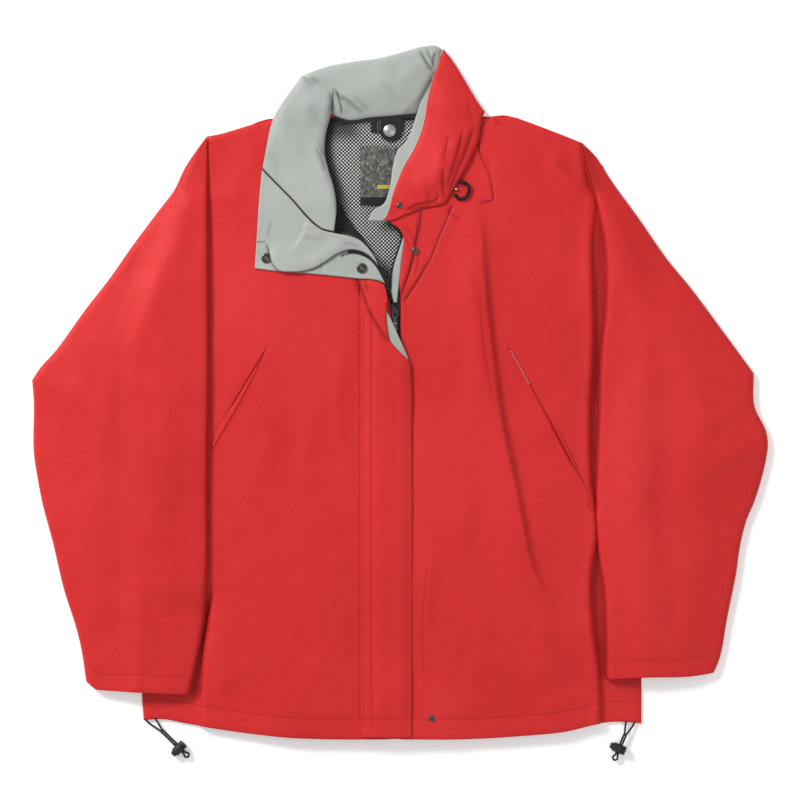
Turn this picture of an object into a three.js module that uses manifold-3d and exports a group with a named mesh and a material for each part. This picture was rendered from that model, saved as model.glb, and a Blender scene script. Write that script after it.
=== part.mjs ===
import * as THREE from 'three';
import { mergeVertices } from 'three/addons/utils/BufferGeometryUtils.js';
import Module from 'manifold-3d';

const wasm = await Module();
wasm.setup();

// Foul weather jacket laid flat on its back. Millimetres, +Z up, +Y towards the collar.
// Outlines are written for a jacket of nominal width and length and scaled to the sizes below.
const BODY_WIDTH = 600;          // side seam to side seam at the chest and hem
const BODY_LENGTH = 740;         // shoulder at the neck down to the hem
const BODY_LOFT = 10.5;          // air between the front and the back at mid width
const SLEEVE_LOFT = 14;          // air inside a sleeve at its middle
const SHELL_T = 1.2;             // coated shell cloth
const LINING_T = 0.8;            // mesh and facing cloth
const GAP = 0.3;                 // clearance between layers
const CENTRE_X = -10;            // mid width of the body in the shared frame
const ZIP_X = 4;                 // zip line, from mid width
const TEETH_W = 2.5;             // width of one half chain
const TEETH_T = 2.2;             // thickness of the chain
const CHAIN_SPLIT = 1.4;         // room between the half chains for the slider's post
const TAPE_W = 13.5;             // visible width of one zip tape
const TAPE_T = 0.9;
const SLIDER_W = 12;
const SLIDER_L = 17;
const SLIDER_Y = 97.5;           // middle of the slider along the zip
const PLATE_T = 1.0;             // slider's top and bottom plates
const BRIDGE_W = 3.0;            // bridge that the pull hangs on
const PULL_T = 1.4;
const PULL_L = 26;
const FLAP_RISE = 4.0;           // the storm flap arches this much over the slider
const SNAP_R = 6.3;              // ring socket
const CAP_R = 7.5;               // domed snap cap
const STUD_R = 3.9;
const POST_R = 1.8;              // rivet posts in the snaps
const FIT = 0.35;                // radial clearance round posts and cords
const CORD_R = 1.2;              // hem cord
const LOOP_R = 1.5;              // hood cord
const LOCK_R = 5.5;              // cord lock barrel
const LOCK_L = 16;
const BUTTON_R = 3.9;
const BUTTON_TRAVEL = 2.5;

const SX = BODY_WIDTH / 600;
const SY = BODY_LENGTH / 740;

// ---- colours
const RED = { color: 0xcf3a3b, roughness: 0.62, metalness: 0 };
const GREY = { color: 0xb2b9b2, roughness: 0.7, metalness: 0 };
const BLACK = { color: 0x1b1c1e, roughness: 0.6, metalness: 0 };
const MESH = { color: 0x101112, roughness: 0.85, metalness: 0 };
const LABEL = { color: 0x54564f, roughness: 0.8, metalness: 0 };
const METAL = { color: 0x55565a, roughness: 0.35, metalness: 0.9 };
const STEEL = { color: 0x9a9ca0, roughness: 0.3, metalness: 0.95 };

const group = new THREE.Group();
group.name = 'foul_weather_jacket';

// ---- solids
function toManifold(geometry) {
  const g = geometry.clone();
  g.deleteAttribute('normal');
  g.deleteAttribute('uv');
  const m = mergeVertices(g, 1e-4);
  const vertProperties = new Float32Array(m.attributes.position.array);
  const triVerts = new Uint32Array(m.index.array);
  return new wasm.Manifold(new wasm.Mesh({ numProp: 3, vertProperties, triVerts }));
}

function add(name, solid, finish) {
  const mesh = solid.getMesh();
  const g = new THREE.BufferGeometry();
  g.setAttribute('position', new THREE.BufferAttribute(new Float32Array(mesh.vertProperties), 3));
  g.setIndex(new THREE.BufferAttribute(new Uint32Array(mesh.triVerts), 1));
  g.computeVertexNormals();
  const node = new THREE.Mesh(g, new THREE.MeshStandardMaterial(finish));
  node.name = name;
  group.add(node);
}

// points are given from mid width, for the nominal size
const fit = ([x, y]) => [CENTRE_X + x * SX, y * SY];

function prism(points, z0, z1) {
  const shape = new THREE.Shape(points.map(([x, y]) => new THREE.Vector2(x, y)));
  const g = new THREE.ExtrudeGeometry(shape, { depth: z1 - z0, bevelEnabled: false });
  g.translate(0, 0, z0);
  return toManifold(g);
}

function box(x0, x1, y0, y1, z0, z1) {
  const g = new THREE.BoxGeometry(x1 - x0, y1 - y0, z1 - z0);
  g.translate((x0 + x1) / 2, (y0 + y1) / 2, (z0 + z1) / 2);
  return toManifold(g);
}

function lathe(profile, x, y, z, steps = 12) {
  const g = new THREE.LatheGeometry(profile.map(([r, h]) => new THREE.Vector2(r, h)), steps);
  g.rotateX(Math.PI / 2);
  g.translate(x, y, z);
  return toManifold(g);
}

function rod(r, x, y, z0, z1, steps = 12) {
  return lathe([[0, 0], [r, 0], [r, z1 - z0], [0, z1 - z0]], x, y, z0, steps);
}

// ---- the heights that the layers follow, on one shared grid
const ACROSS = [0, 45, 90, 130, 170, 210, 240, 270, 302, 330, 360, 390, 420, 475];
const GRID_X = [...ACROSS.slice(1).reverse().map((x) => -x), ...ACROSS].map((x) => CENTRE_X + x * SX);
const GRID_Y = [-440, 60, 100, 140, 180, 220, 260, 300, 338, 372, 440].map((y) => y * SY);
const SLEEVE_Y = [-440, -350, -260, -170, -80, 0, 60, 110, 160, 210, 260, 300, 440].map((y) => y * SY);

const smooth = (t) => {
  const c = Math.min(1, Math.max(0, t));
  return c * c * (3 - 2 * c);
};

// air between front and back: none at the side seams, armholes and shoulder seams
function loft(x, y) {
  const u = Math.abs(x - CENTRE_X) / SX;
  const v = y / SY;
  const half = v < 60 ? 302 : 302 - (v - 60) * 0.308;
  const shoulder = 332 - 0.29 * Math.max(0, u - 130);
  return BODY_LOFT * Math.max(0, 1 - (u / half) ** 3) * smooth((shoulder - v) / 110);
}

// top of the front shell, carried on past its edges down to the floor
const STACK = SHELL_T * 2 + LINING_T * 2 + GAP * 3;
function over(x, y) {
  const u = Math.abs(x - CENTRE_X) / SX;
  const v = y / SY;
  return loft(x, y) + STACK * (u < 303 ? 1 : 0) * (v < 339 ? 1 : 0);
}

class Surface {
  constructor(height, xs = GRID_X, ys = GRID_Y) {
    this.xs = xs;
    this.ys = ys;
    this.height = height;
    const nx = xs.length - 1;
    const ny = ys.length - 1;
    const g = new THREE.BoxGeometry(1, 1, 1, nx, ny, 1);
    const p = g.attributes.position;
    for (let k = 0; k < p.count; k += 1) {
      const x = xs[Math.round((p.getX(k) + 0.5) * nx)];
      const y = ys[Math.round((p.getY(k) + 0.5) * ny)];
      p.setXYZ(k, x, y, p.getZ(k) > 0 ? height(x, y) : -100);
    }
    this.solid = toManifold(g);
  }

  // height of the faceted surface; the cells split from upper left to lower right
  at(x, y) {
    const i = Math.max(0, this.xs.findLastIndex((v) => v <= x));
    const j = Math.max(0, this.ys.findLastIndex((v) => v <= y));
    const s = (x - this.xs[i]) / (this.xs[i + 1] - this.xs[i]);
    const t = (y - this.ys[j]) / (this.ys[j + 1] - this.ys[j]);
    const z = (a, b) => this.height(this.xs[i + a], this.ys[j + b]);
    if (t > s) return z(0, 0) * (1 - t) + z(0, 1) * (t - s) + z(1, 1) * s;
    return z(0, 0) * (1 - s) + z(1, 0) * (s - t) + z(1, 1) * t;
  }

  // cloth between two heights above this surface, cut to an outline
  cloth(points, low, high) {
    const slab = this.solid.translate([0, 0, high]).subtract(this.solid.translate([0, 0, low]));
    return prism(points, -50, 150).intersect(slab);
  }
}

const inner = new Surface(loft);
const outer = new Surface(over);

// heights of the layers
const LINING_Z = SHELL_T + GAP;                       // back lining
const FRONT_LINING_Z = LINING_Z + LINING_T + GAP;     // above the loft surface
const FRONT_Z = FRONT_LINING_Z + LINING_T + GAP;
const CLOTH_TOP = FRONT_Z + SHELL_T;
const UPPER = GAP;                                    // first layer on the front, above `outer`
const UPPER2 = UPPER + SHELL_T + GAP;

// ---- outlines
const SHOULDER_R = [[-222, 307], [-206, 310], [-172, 320], [-142, 328]];
const SHOULDER_L = [[120, 331], [148, 330], [154, 328], [202, 310], [229.5, 299]];
const ARMHOLE_R = [[-292, 62], [-262, 120], [-240, 190], [-228, 262]];
const ARMHOLE_L = [[243, 262], [258, 205], [270, 140], [292, 62]];
const HEM_R = [[-76, -416], [-126, -414], [-181, -408], [-247, -398], [-274, -393], [-298, -394]];
const HEM_L = [[300, -398], [271, -396], [249, -398], [209, -407], [159, -412], [89, -416]];
const lift = (points, dy) => points.map(([x, y]) => [x, y + dy]);
const shrink = (points, k) => points.map(([x, y]) => [x * k, y]);

const BACK = [...HEM_R, [-300, -360], ...ARMHOLE_R, ...SHOULDER_R, ...SHOULDER_L, ...ARMHOLE_L,
  [300, -343], ...HEM_L];
add('back_panel', prism(BACK.map(fit), 0, SHELL_T), RED);

const HEM_TURN = 15;
const backLining = [...lift(HEM_R, HEM_TURN), ...ARMHOLE_R, ...lift(SHOULDER_R, -4),
  ...lift(SHOULDER_L, -4), ...ARMHOLE_L, ...lift(HEM_L, HEM_TURN)];
add('back_lining', prism(shrink(backLining, 0.985).map(fit), LINING_Z, LINING_Z + LINING_T), MESH);

const ZIP_SIDE = SLIDER_W / 2 + 1;
const rightFront = [...HEM_R, [-300, -360], ...ARMHOLE_R, ...SHOULDER_R, [-124, 325], [-98, 300],
  [-88, 270], [-78, 240], [-78, 200], [-66, 188], [-37, 175], [-24, 160], [-9, 128],
  [ZIP_X - ZIP_SIDE, 108], [ZIP_X - ZIP_SIDE, -416]];
const leftFront = [[ZIP_X + ZIP_SIDE, -416], [ZIP_X + ZIP_SIDE, 108], [9, 116], [14.4, 160], [15.5, 187],
  [10, 196], [-6, 205], [14, 222], [44, 236], [64, 233], [98, 302], [104, 326], ...SHOULDER_L,
  ...ARMHOLE_L, [300, -343], ...HEM_L];

// ---- snap fasteners
const RING_A = fit([-149.7, 160]);
const RING_B = fit([-35.6, 148]);
const STUD_C = fit([9.4, 223]);
const STUD_D = fit([27.8, 169.3]);
const STUD_HEM = fit([48.4, -390.6]);
const TAB_CAP = fit([-2.4, 313.7]);

function hole([x, y], r = POST_R + FIT) {
  return rod(r, x, y, -20, 120);
}

function stud([x, y], z, depth) {
  const profile = [[0, -depth], [POST_R, -depth], [POST_R, GAP], [STUD_R, GAP], [STUD_R, GAP + 0.7],
    [2.2, GAP + 0.9], [2.2, GAP + 1.5], [2.5, GAP + 2.0], [1.9, GAP + 2.5], [0, GAP + 2.6]];
  return lathe(profile, x, y, z);
}

add('right_front_panel', inner.cloth(rightFront.map(fit), FRONT_Z, CLOTH_TOP), RED);
const leftFrontCloth = inner.cloth(leftFront.map(fit), FRONT_Z, CLOTH_TOP)
  .subtract(hole(STUD_D))
  .subtract(hole(STUD_HEM));
add('left_front_panel', leftFrontCloth, RED);

const tapeEdge = TEETH_W + CHAIN_SPLIT / 2 + GAP + TAPE_W;
const rightLining = [...lift(HEM_R, HEM_TURN), ...ARMHOLE_R, ...lift(SHOULDER_R, -6), [-126, 300],
  [-104, 165], [-55, 138], [ZIP_X - tapeEdge - 0.5, 88], [ZIP_X - tapeEdge - 0.5, -398]];
const leftLining = [[ZIP_X + tapeEdge + 0.5, -398], [ZIP_X + tapeEdge + 0.5, 95], [36, 150], [38, 205],
  [66, 222], [108, 305], ...lift(SHOULDER_L, -6), ...ARMHOLE_L, ...lift(HEM_L, HEM_TURN)];
const liningTop = FRONT_LINING_Z + LINING_T;
const leftLiningCloth = inner.cloth(shrink(leftLining, 0.99).map(fit), FRONT_LINING_Z, liningTop)
  .subtract(hole(STUD_HEM, 6));
add('right_front_lining', inner.cloth(shrink(rightLining, 0.99).map(fit), FRONT_LINING_Z, liningTop), MESH);
add('left_front_lining', leftLiningCloth, MESH);

// ---- sleeves: an upper and an under panel each, open at the cuff
const SLEEVE_R = [[-222, 306], [-247, 270], [-261, 241], [-277, 220], [-310, 176], [-338, 136],
  [-366, 100], [-403, 49], [-421, 29], [-431, 14], [-429, -11], [-429, -72], [-424, -106], [-419, -132],
  [-406, -181], [-393, -236], [-379, -280], [-372, -308], [-366, -348], [-354, -357], [-301, -360],
  [-243, -363], [-224, -264], [-220.5, -107], [-219, 74], [-221, 266]];
const SLEEVE_L = [[229.5, 298], [245, 282], [263, 254], [296, 208], [330, 159], [358, 125], [396, 74],
  [434, 22], [435, -17], [449, -48], [451, -62], [449, -80], [435, -131], [426, -152], [418, -183],
  [413, -217], [402, -272], [393, -320], [386, -337], [358, -341], [301, -342], [258, -345],
  [258, -286], [256, -240], [249, -194], [246, -142], [249, -34], [252, 51], [257, 97], [257, 166],
  [251, 207], [245, 235]];

function widthAt(points, y) {
  const hits = [];
  points.forEach((p, k) => {
    const q = points[(k + 1) % points.length];
    if ((p[1] > y) !== (q[1] > y)) hits.push(p[0] + (q[0] - p[0]) * (y - p[1]) / (q[1] - p[1]));
  });
  return hits.length < 2 ? null : [Math.min(...hits), Math.max(...hits)];
}

const UNDER_T = 1.0;
function sleeve(side, outline) {
  const points = outline.map(fit);
  const low = Math.min(...points.map((p) => p[1]));
  const high = Math.max(...points.map((p) => p[1]));
  const air = (x, y) => {
    const span = widthAt(points, Math.min(high - 20, Math.max(low + 20, y)));
    const v = (2 * x - span[0] - span[1]) / (span[1] - span[0]);
    return SLEEVE_LOFT * Math.max(0, 1 - v * v) * smooth((high - 10 - y) / 90);
  };
  const upper = new Surface((x, y) => over(x, y) + air(x, y), GRID_X, SLEEVE_Y);
  const top = UPPER + UNDER_T + GAP;
  add(`${side}_under_sleeve`, outer.cloth(points, UPPER, UPPER + UNDER_T), RED);
  add(`${side}_top_sleeve`, upper.cloth(points, top, top + UNDER_T), RED);
}
sleeve('right', SLEEVE_R);
sleeve('left', SLEEVE_L);

// ---- pocket welts on the fronts
const WELT_R = [[-150, 51], [-183, -3], [-215, -55], [-215, -72], [-189, -22]];
const WELT_L = [[142, 51], [171, -1], [213, -82], [236, -126], [236, -142], [204, -84], [162, -4]];
const leftWelt = outer.cloth(WELT_L.map(fit), UPPER, UPPER + LINING_T);
add('right_pocket_welt', outer.cloth(WELT_R.map(fit), UPPER, UPPER + LINING_T), RED);
add('left_pocket_welt', leftWelt, RED);

// ---- collar
const BACK_COLLAR = [[-108, 379], [-95, 385], [-77, 391], [-45, 397], [-15, 401], [12, 408], [38, 415],
  [53, 416], [60, 412], [51, 390], [37, 378], [28.5, 334], [-27, 329], [-50, 327.5], [-72, 333],
  [-68.5, 366]];
add('back_collar_outer', prism(BACK_COLLAR.map(fit), 0, SHELL_T)
  .subtract(box(-400, 400, -400, 331.4 * SY, -1, 9)), RED);
add('back_collar_lining', prism(BACK_COLLAR.map(fit), LINING_Z, LINING_Z + LINING_T), GREY);

const RIGHT_COLLAR = [[-109, 378.5], [-69.5, 365.5], [-73, 333], [-79, 308], [-80, 286], [-73, 263],
  [-67, 240], [-67, 217], [-68.5, 193.5], [-85, 196.5], [-155, 268], [-151, 290], [-146, 316],
  [-142, 328], [-135, 341], [-123, 359]];
const LAPEL = [[-155.5, 267.4], [-85.4, 195.8], [-68, 192.8], [-36, 180], [-22, 164], [-6, 128], [-4, 121.5],
  [-15, 133], [-45, 136], [-103, 142], [-130, 141.5], [-164, 148], [-162, 179], [-159, 228]];
const inset = (points, d) => points.map(([x, y], k) => {
  const a = points[(k + points.length - 1) % points.length];
  const b = points[(k + 1) % points.length];
  const cx = (a[0] + b[0]) / 2 - x;
  const cy = (a[1] + b[1]) / 2 - y;
  const n = Math.hypot(cx, cy) || 1;
  return Math.hypot(cx, cy) > 3 ? [x + cx * d / n, y + cy * d / n] : [x, y];
});
const upperTop = UPPER2 + LINING_T;
add('right_collar_outer', outer.cloth(inset(RIGHT_COLLAR, 0.5).map(fit), UPPER, UPPER + SHELL_T), RED);
add('right_collar_lining', outer.cloth(RIGHT_COLLAR.map(fit), UPPER2, upperTop), GREY);
const lapelOuter = outer.cloth(LAPEL.map(fit), UPPER, UPPER + SHELL_T)
  .subtract(hole(RING_A))
  .subtract(hole(RING_B));
const lapelFacing = outer.cloth(LAPEL.map(fit), UPPER2, upperTop)
  .subtract(hole(RING_A))
  .subtract(hole(RING_B));
add('lapel_outer', lapelOuter, RED);
add('lapel_facing', lapelFacing, GREY);

const COLLAR_L_RIGHT = [[62, 412], [73, 398], [92, 367], [104, 347], [112, 336], [109.6, 331], [103.6, 300],
  [70, 235], [62.8, 224.4], [44, 229], [14.4, 215]];
const leftCollar = [...COLLAR_L_RIGHT, [-9.7, 206], [-6, 212], [1.6, 238], [14.4, 270], [35, 311], [43, 350]];
const leftCollarLining = [...COLLAR_L_RIGHT.slice(0, 9), [44, 229], [14.4, 215], [-8.6, 206], [-29.6, 205],
  [-22.4, 217], [-9, 226], [-2, 240], [0.4, 265], [6.4, 288], [19, 304], [29.5, 332], [38, 377.5],
  [52, 389.5]];
add('left_collar_lining', outer.cloth(leftCollarLining.map(fit), UPPER, UPPER + LINING_T), GREY);
const collarOuterZ = UPPER + LINING_T + GAP;
const leftCollarOuter = outer.cloth(leftCollar.map(fit), collarOuterZ, collarOuterZ + SHELL_T)
  .subtract(hole(STUD_C));
add('left_collar_outer', leftCollarOuter, RED);

// ---- neck: tape over the back seam, size label, snap tab
const neckZ = LINING_Z + LINING_T + GAP;
const NECK_TAPE = [[-61, 326.5], [-27, 327.5], [28, 333], [27, 325], [-28, 320], [-60, 319]];
add('neck_tape', prism(NECK_TAPE.map(fit), neckZ, neckZ + LINING_T), BLACK);
const LABEL_OUTLINE = [[-38, 295], [-38, 224], [4, 224], [4, 295]];
add('label', prism(LABEL_OUTLINE.map(fit), neckZ, neckZ + 0.6), LABEL);
const tabZ = neckZ + LINING_T + GAP + 0.2;
const TAB = [[-25, 326], [14.5, 328], [14.5, 316], [8, 303], [0, 300], [-8, 303], [-13, 308], [-25, 312]];
const tab = prism(TAB.map(fit), tabZ, tabZ + 1)
  .subtract(hole(TAB_CAP));
add('neck_tab', tab, BLACK);
const capProfile = [[0, -1.6], [POST_R, -1.6], [POST_R, GAP], [CAP_R, GAP], [CAP_R, GAP + 0.6],
  [CAP_R * 0.9, GAP + 1.5], [CAP_R * 0.65, GAP + 2.4], [CAP_R * 0.3, GAP + 2.9], [0, GAP + 3]];
add('neck_tab_cap', lathe(capProfile, TAB_CAP[0], TAB_CAP[1], tabZ + 1, 16), STEEL);
const washer = rod(4.6, TAB_CAP[0], TAB_CAP[1], tabZ - GAP - 0.8, tabZ - GAP)
  .subtract(hole(TAB_CAP));
add('neck_tab_socket', washer, METAL);

// ---- ring sockets on the lapel and studs on the other side
function ringSocket(name, at) {
  const base = outer.at(at[0], at[1]) + upperTop;
  const profile = [[POST_R + FIT, GAP], [SNAP_R - 0.4, GAP], [SNAP_R, GAP + 0.5], [SNAP_R - 0.5, GAP + 1.4],
    [SNAP_R - 1.6, GAP + 1.8], [SNAP_R - 2.4, GAP + 0.9], [POST_R + FIT, GAP + 0.9], [POST_R + FIT, GAP]];
  add(`snap_socket_${name}`, lathe(profile, at[0], at[1], base), METAL);
  const floor = UPPER + 0.2 - upperTop;
  const rivet = [[0, floor], [POST_R, floor], [POST_R, GAP + 0.7], [POST_R * 0.6, GAP + 1.1],
    [0, GAP + 1.2]];
  add(`snap_rivet_${name}`, lathe(rivet, at[0], at[1], base), METAL);
}
ringSocket('a', RING_A);
ringSocket('b', RING_B);
add('snap_stud_c', stud(STUD_C, outer.at(...STUD_C) + collarOuterZ + SHELL_T, SHELL_T), METAL);
add('snap_stud_d', stud(STUD_D, inner.at(...STUD_D) + CLOTH_TOP, SHELL_T), METAL);
add('snap_stud_hem', stud(STUD_HEM, inner.at(...STUD_HEM) + CLOTH_TOP, SHELL_T), METAL);

// ---- zip
function strip(path, near, far) {
  const side = (d) => path.map((p, k) => {
    const a = path[Math.max(0, k - 1)];
    const b = path[Math.min(path.length - 1, k + 1)];
    const n = Math.hypot(b[0] - a[0], b[1] - a[1]);
    return [p[0] - (b[1] - a[1]) / n * d, p[1] + (b[0] - a[0]) / n * d];
  });
  return [...side(near), ...side(far).reverse()];
}

const chainR = CENTRE_X + ZIP_X * SX - CHAIN_SPLIT / 2 - TEETH_W / 2;
const chainL = CENTRE_X + ZIP_X * SX + CHAIN_SPLIT / 2 + TEETH_W / 2;
const ZIP_END = -385 * SY;
const slY = SLIDER_Y * SY;
const OPEN_R = [[-5, 130], [-19, 160], [-33, 178], [-58, 189], [-66, 192.5]].map(fit);
const OPEN_L = [[3, 122], [9, 152], [10.5, 182], [5, 190], [-8, 199]].map(fit);
const pathR = [[chainR, ZIP_END], [chainR, slY + 4], [chainR - 1.2, slY + 14], ...OPEN_R];
const pathL = [[chainL, ZIP_END], [chainL, slY + 4], [chainL - 0.2, slY + 14], ...OPEN_L];
const tapeZ = FRONT_Z - GAP - TAPE_T;
const chainZ = tapeZ + TAPE_T / 2 - TEETH_T / 2;
const half = TEETH_W / 2;
const tapeR = strip(pathR, half + GAP, half + GAP + TAPE_W);
const tapeL = strip(pathL, -half - GAP, -half - GAP - TAPE_W);
const FACING_L = [[15, 180], [12, 156], [8, 118], [-3.8, 122], [1.6, 151], [8, 169]];
add('left_facing', inner.cloth(FACING_L.map(fit), chainZ - GAP - LINING_T, chainZ - GAP), GREY);
add('right_zip_tape', inner.cloth(tapeR, tapeZ, tapeZ + TAPE_T), BLACK);
add('left_zip_tape', inner.cloth(tapeL, tapeZ, tapeZ + TAPE_T), BLACK);
add('right_zip_chain', inner.cloth(strip(pathR, -half, half), chainZ, chainZ + TEETH_T), BLACK);
add('left_zip_chain', inner.cloth(strip(pathL, -half, half), chainZ, chainZ + TEETH_T), BLACK);

const zx = CENTRE_X + ZIP_X * SX;
const level = BODY_LOFT;
const stopZ = level + chainZ;
add('zip_stop', box(zx - 4.5, zx + 4.5, ZIP_END - 9, ZIP_END - GAP, stopZ - 0.5, stopZ + TEETH_T + 0.5), BLACK);

const plateTop = stopZ + TEETH_T + GAP + PLATE_T;
const SLOT = 1.35;                                   // pull's bar stands this far above the plate
const pivotZ = plateTop + SLOT;
const bridgeIn = pivotZ + 1.35;
const plateOutline = (y0, y1) => [[zx - 4, y0], [zx - SLIDER_W / 2, y0 + 4], [zx - SLIDER_W / 2, y1 - 4],
  [zx - 3.5, y1], [zx + 3.5, y1], [zx + SLIDER_W / 2, y1 - 4], [zx + SLIDER_W / 2, y0 + 4], [zx + 4, y0]];
const plates = plateOutline(slY - SLIDER_L / 2, slY + SLIDER_L / 2);
const post = CHAIN_SPLIT / 2 - GAP;
const bridge = (y0, y1, z0, z1) => box(zx - BRIDGE_W / 2, zx + BRIDGE_W / 2, slY + y0, slY + y1, z0, z1);
const slider = prism(plates, plateTop - PLATE_T, plateTop)
  .add(prism(plates, stopZ - GAP - PLATE_T, stopZ - GAP))
  .add(box(zx - post, zx + post, slY + 1, slY + 7, stopZ - GAP - 0.5, plateTop - 0.5))
  .add(bridge(-5, -3.4, plateTop - 0.5, bridgeIn + 0.9))
  .add(bridge(3.4, 5, plateTop - 0.5, bridgeIn + 0.9))
  .add(bridge(-5, 5, bridgeIn, bridgeIn + 0.9));
add('zip_slider', slider, BLACK);

const pullOutline = [[-3.6, 0.8], [3.6, 0.8], [3.6, -9], [2.6, -12], [2.9, -PULL_L + 2], [1.6, -PULL_L],
  [-1.6, -PULL_L], [-2.9, -PULL_L + 2], [-2.6, -12], [-3.6, -9]].map(([x, y]) => [zx + x, slY + y]);
const pull = prism(pullOutline, pivotZ - PULL_T / 2, pivotZ + PULL_T / 2)
  .subtract(box(zx - 1.9, zx + 1.9, slY - 6.8, slY - 0.8, 0, 60));
add('zip_pull', pull, STEEL);

// ---- storm flap and its facing, sewn on the right front, arched over the slider
const FLAP = [[-37, -414], [-37, 106], [-5.5, 106], [-5, 74], [-2, 62], [4, 54], [15, 43], [22, 36],
  [25.4, -213], [24.5, -396], [24.5, -414]];
const flapX = [-60, -30, -12, 18, 27, 60].map((x) => CENTRE_X + x * SX);
const arch = (x) => (x > flapX[1] + 1 && x < flapX[4] - 1 ? FLAP_RISE : 0);
const flapSurface = new Surface((x) => level + CLOTH_TOP + arch(x), flapX, GRID_Y);
add('storm_flap_facing', flapSurface.cloth(FLAP.map(fit), GAP, GAP + LINING_T), GREY);
add('storm_flap', flapSurface.cloth(FLAP.map(fit), GAP * 2 + LINING_T, GAP * 2 + LINING_T + SHELL_T), RED);

// ---- cords
function tube(points, r, sides = 8, spacing = 2.4) {
  const curve = new THREE.CatmullRomCurve3(points.map((p) => new THREE.Vector3(...p)), false, 'centripetal');
  const steps = Math.min(80, Math.round(curve.getLength() / (2 * r * spacing)));
  const ring = [];
  for (let k = 0; k < sides; k += 1) {
    const a = (k + 0.5) / sides * Math.PI * 2;
    ring.push(new THREE.Vector2(r * Math.cos(a), r * Math.sin(a)));
  }
  return toManifold(new THREE.ExtrudeGeometry(new THREE.Shape(ring), { steps, extrudePath: curve }));
}

const LOOP = [[80.2, 250.6], [83.5, 251.6], [88, 250.3], [91.6, 247.4], [92.4, 241], [90.4, 235], [84.4, 231],
  [78.4, 232.4], [75.8, 237]].map(fit);
const loopZ = Math.max(...LOOP.map((p) => outer.at(...p))) + GAP + LOOP_R;
add('hood_cord_loop', tube(LOOP.map(([x, y]) => [x, y, loopZ]), LOOP_R, 8, 1.2), BLACK);
const beadAt = fit([77.4, 242.6]);
const bead = new THREE.SphereGeometry(2.1, 10, 8);
bead.translate(beadAt[0], beadAt[1], outer.at(...beadAt) + 2.1 + GAP);
add('hood_cord_bead', toManifold(bead), STEEL);

// hem cord: out of the hem, through the lock, round and back again
const CORD_PITCH = CORD_R + GAP / 2;
function hemCord(side, start, end) {
  const a = fit(start);
  const b = fit(end);
  const length = Math.hypot(b[0] - a[0], b[1] - a[1]);
  const d = [(b[0] - a[0]) / length, (b[1] - a[1]) / length];
  const n = [-d[1], d[0]];
  const lockZ = LOCK_R + GAP;
  const place = (along, off, z) => [a[0] + d[0] * along + n[0] * off,
    a[1] + d[1] * along + n[1] * off, z];
  const rise = Math.min(15, length * 0.38);
  const strand = (s) => [place(-7, 4.6 * s, 2.95), place(1, 4.4 * s, 3.0), place(rise, CORD_PITCH * s, lockZ),
    place(rise + 4, CORD_PITCH * s, lockZ), place(length, CORD_PITCH * s, lockZ),
    place(length + 8, CORD_PITCH * s, lockZ)];
  const back = [place(length + 12, 3, lockZ - 0.6), place(length + 15, 0, lockZ - 1),
    place(length + 12, -3, lockZ - 0.6)];
  add(`${side}_hem_cord`, tube([...strand(1), ...back, ...strand(-1).reverse()], CORD_R, 8, 1.7), BLACK);

  // the lock is made with its barrel on +Z and its cord way on +X, then laid down across the cords
  const lay = (solid) => {
    const turn = new THREE.Matrix4().makeBasis(new THREE.Vector3(d[0], d[1], 0), new THREE.Vector3(0, 0, 1),
      new THREE.Vector3(-n[0], -n[1], 0));
    turn.setPosition(a[0] + d[0] * length, a[1] + d[1] * length, lockZ);
    return solid.transform(turn.elements);
  };
  const way = CORD_PITCH + CORD_R + GAP;
  const floor = -LOCK_L / 2 + 1.5;
  const slot = (low, high) => box(-20, 20, -CORD_R - GAP, CORD_R + GAP, low, high);
  const barrel = lathe([[0, 0], [LOCK_R - 0.8, 0], [LOCK_R, 0.8], [LOCK_R, LOCK_L - 0.8],
    [LOCK_R - 0.8, LOCK_L], [0, LOCK_L]], 0, 0, -LOCK_L / 2, 16)
    .subtract(rod(BUTTON_R + FIT, 0, 0, floor, LOCK_L, 16))
    .subtract(slot(-way, way));
  add(`${side}_lock_body`, lay(barrel), BLACK);
  const buttonLow = -way - 0.9;
  const top = LOCK_L / 2 + 3.6;
  const button = lathe([[0, 0], [BUTTON_R, 0], [BUTTON_R, top - buttonLow - 0.8],
    [BUTTON_R - 0.8, top - buttonLow], [0, top - buttonLow]], 0, 0, buttonLow, 16)
    .subtract(slot(-way, way + BUTTON_TRAVEL));
  add(`${side}_lock_button`, lay(button), BLACK);
  const wire = 0.25;
  const coil = [];
  const room = buttonLow - floor - 2 * wire - 0.4;
  for (let k = 0; k <= 16; k += 1) {
    const t = k / 16;
    const turnAt = t * 2 * Math.PI * 2;
    coil.push([3 * Math.cos(turnAt), 3 * Math.sin(turnAt), floor + wire + 0.2 + room * t]);
  }
  add(`${side}_lock_spring`, lay(tube(coil, wire, 5, 5)), STEEL);
}
hemCord('right', [-287.6, -394.8], [-254.6, -427.2]);
hemCord('left', [285.6, -398.9], [273, -428]);

export default group;
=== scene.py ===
import math

import bmesh
import bpy
import numpy as np
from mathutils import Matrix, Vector
from mathutils.geometry import delaunay_2d_cdt

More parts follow.
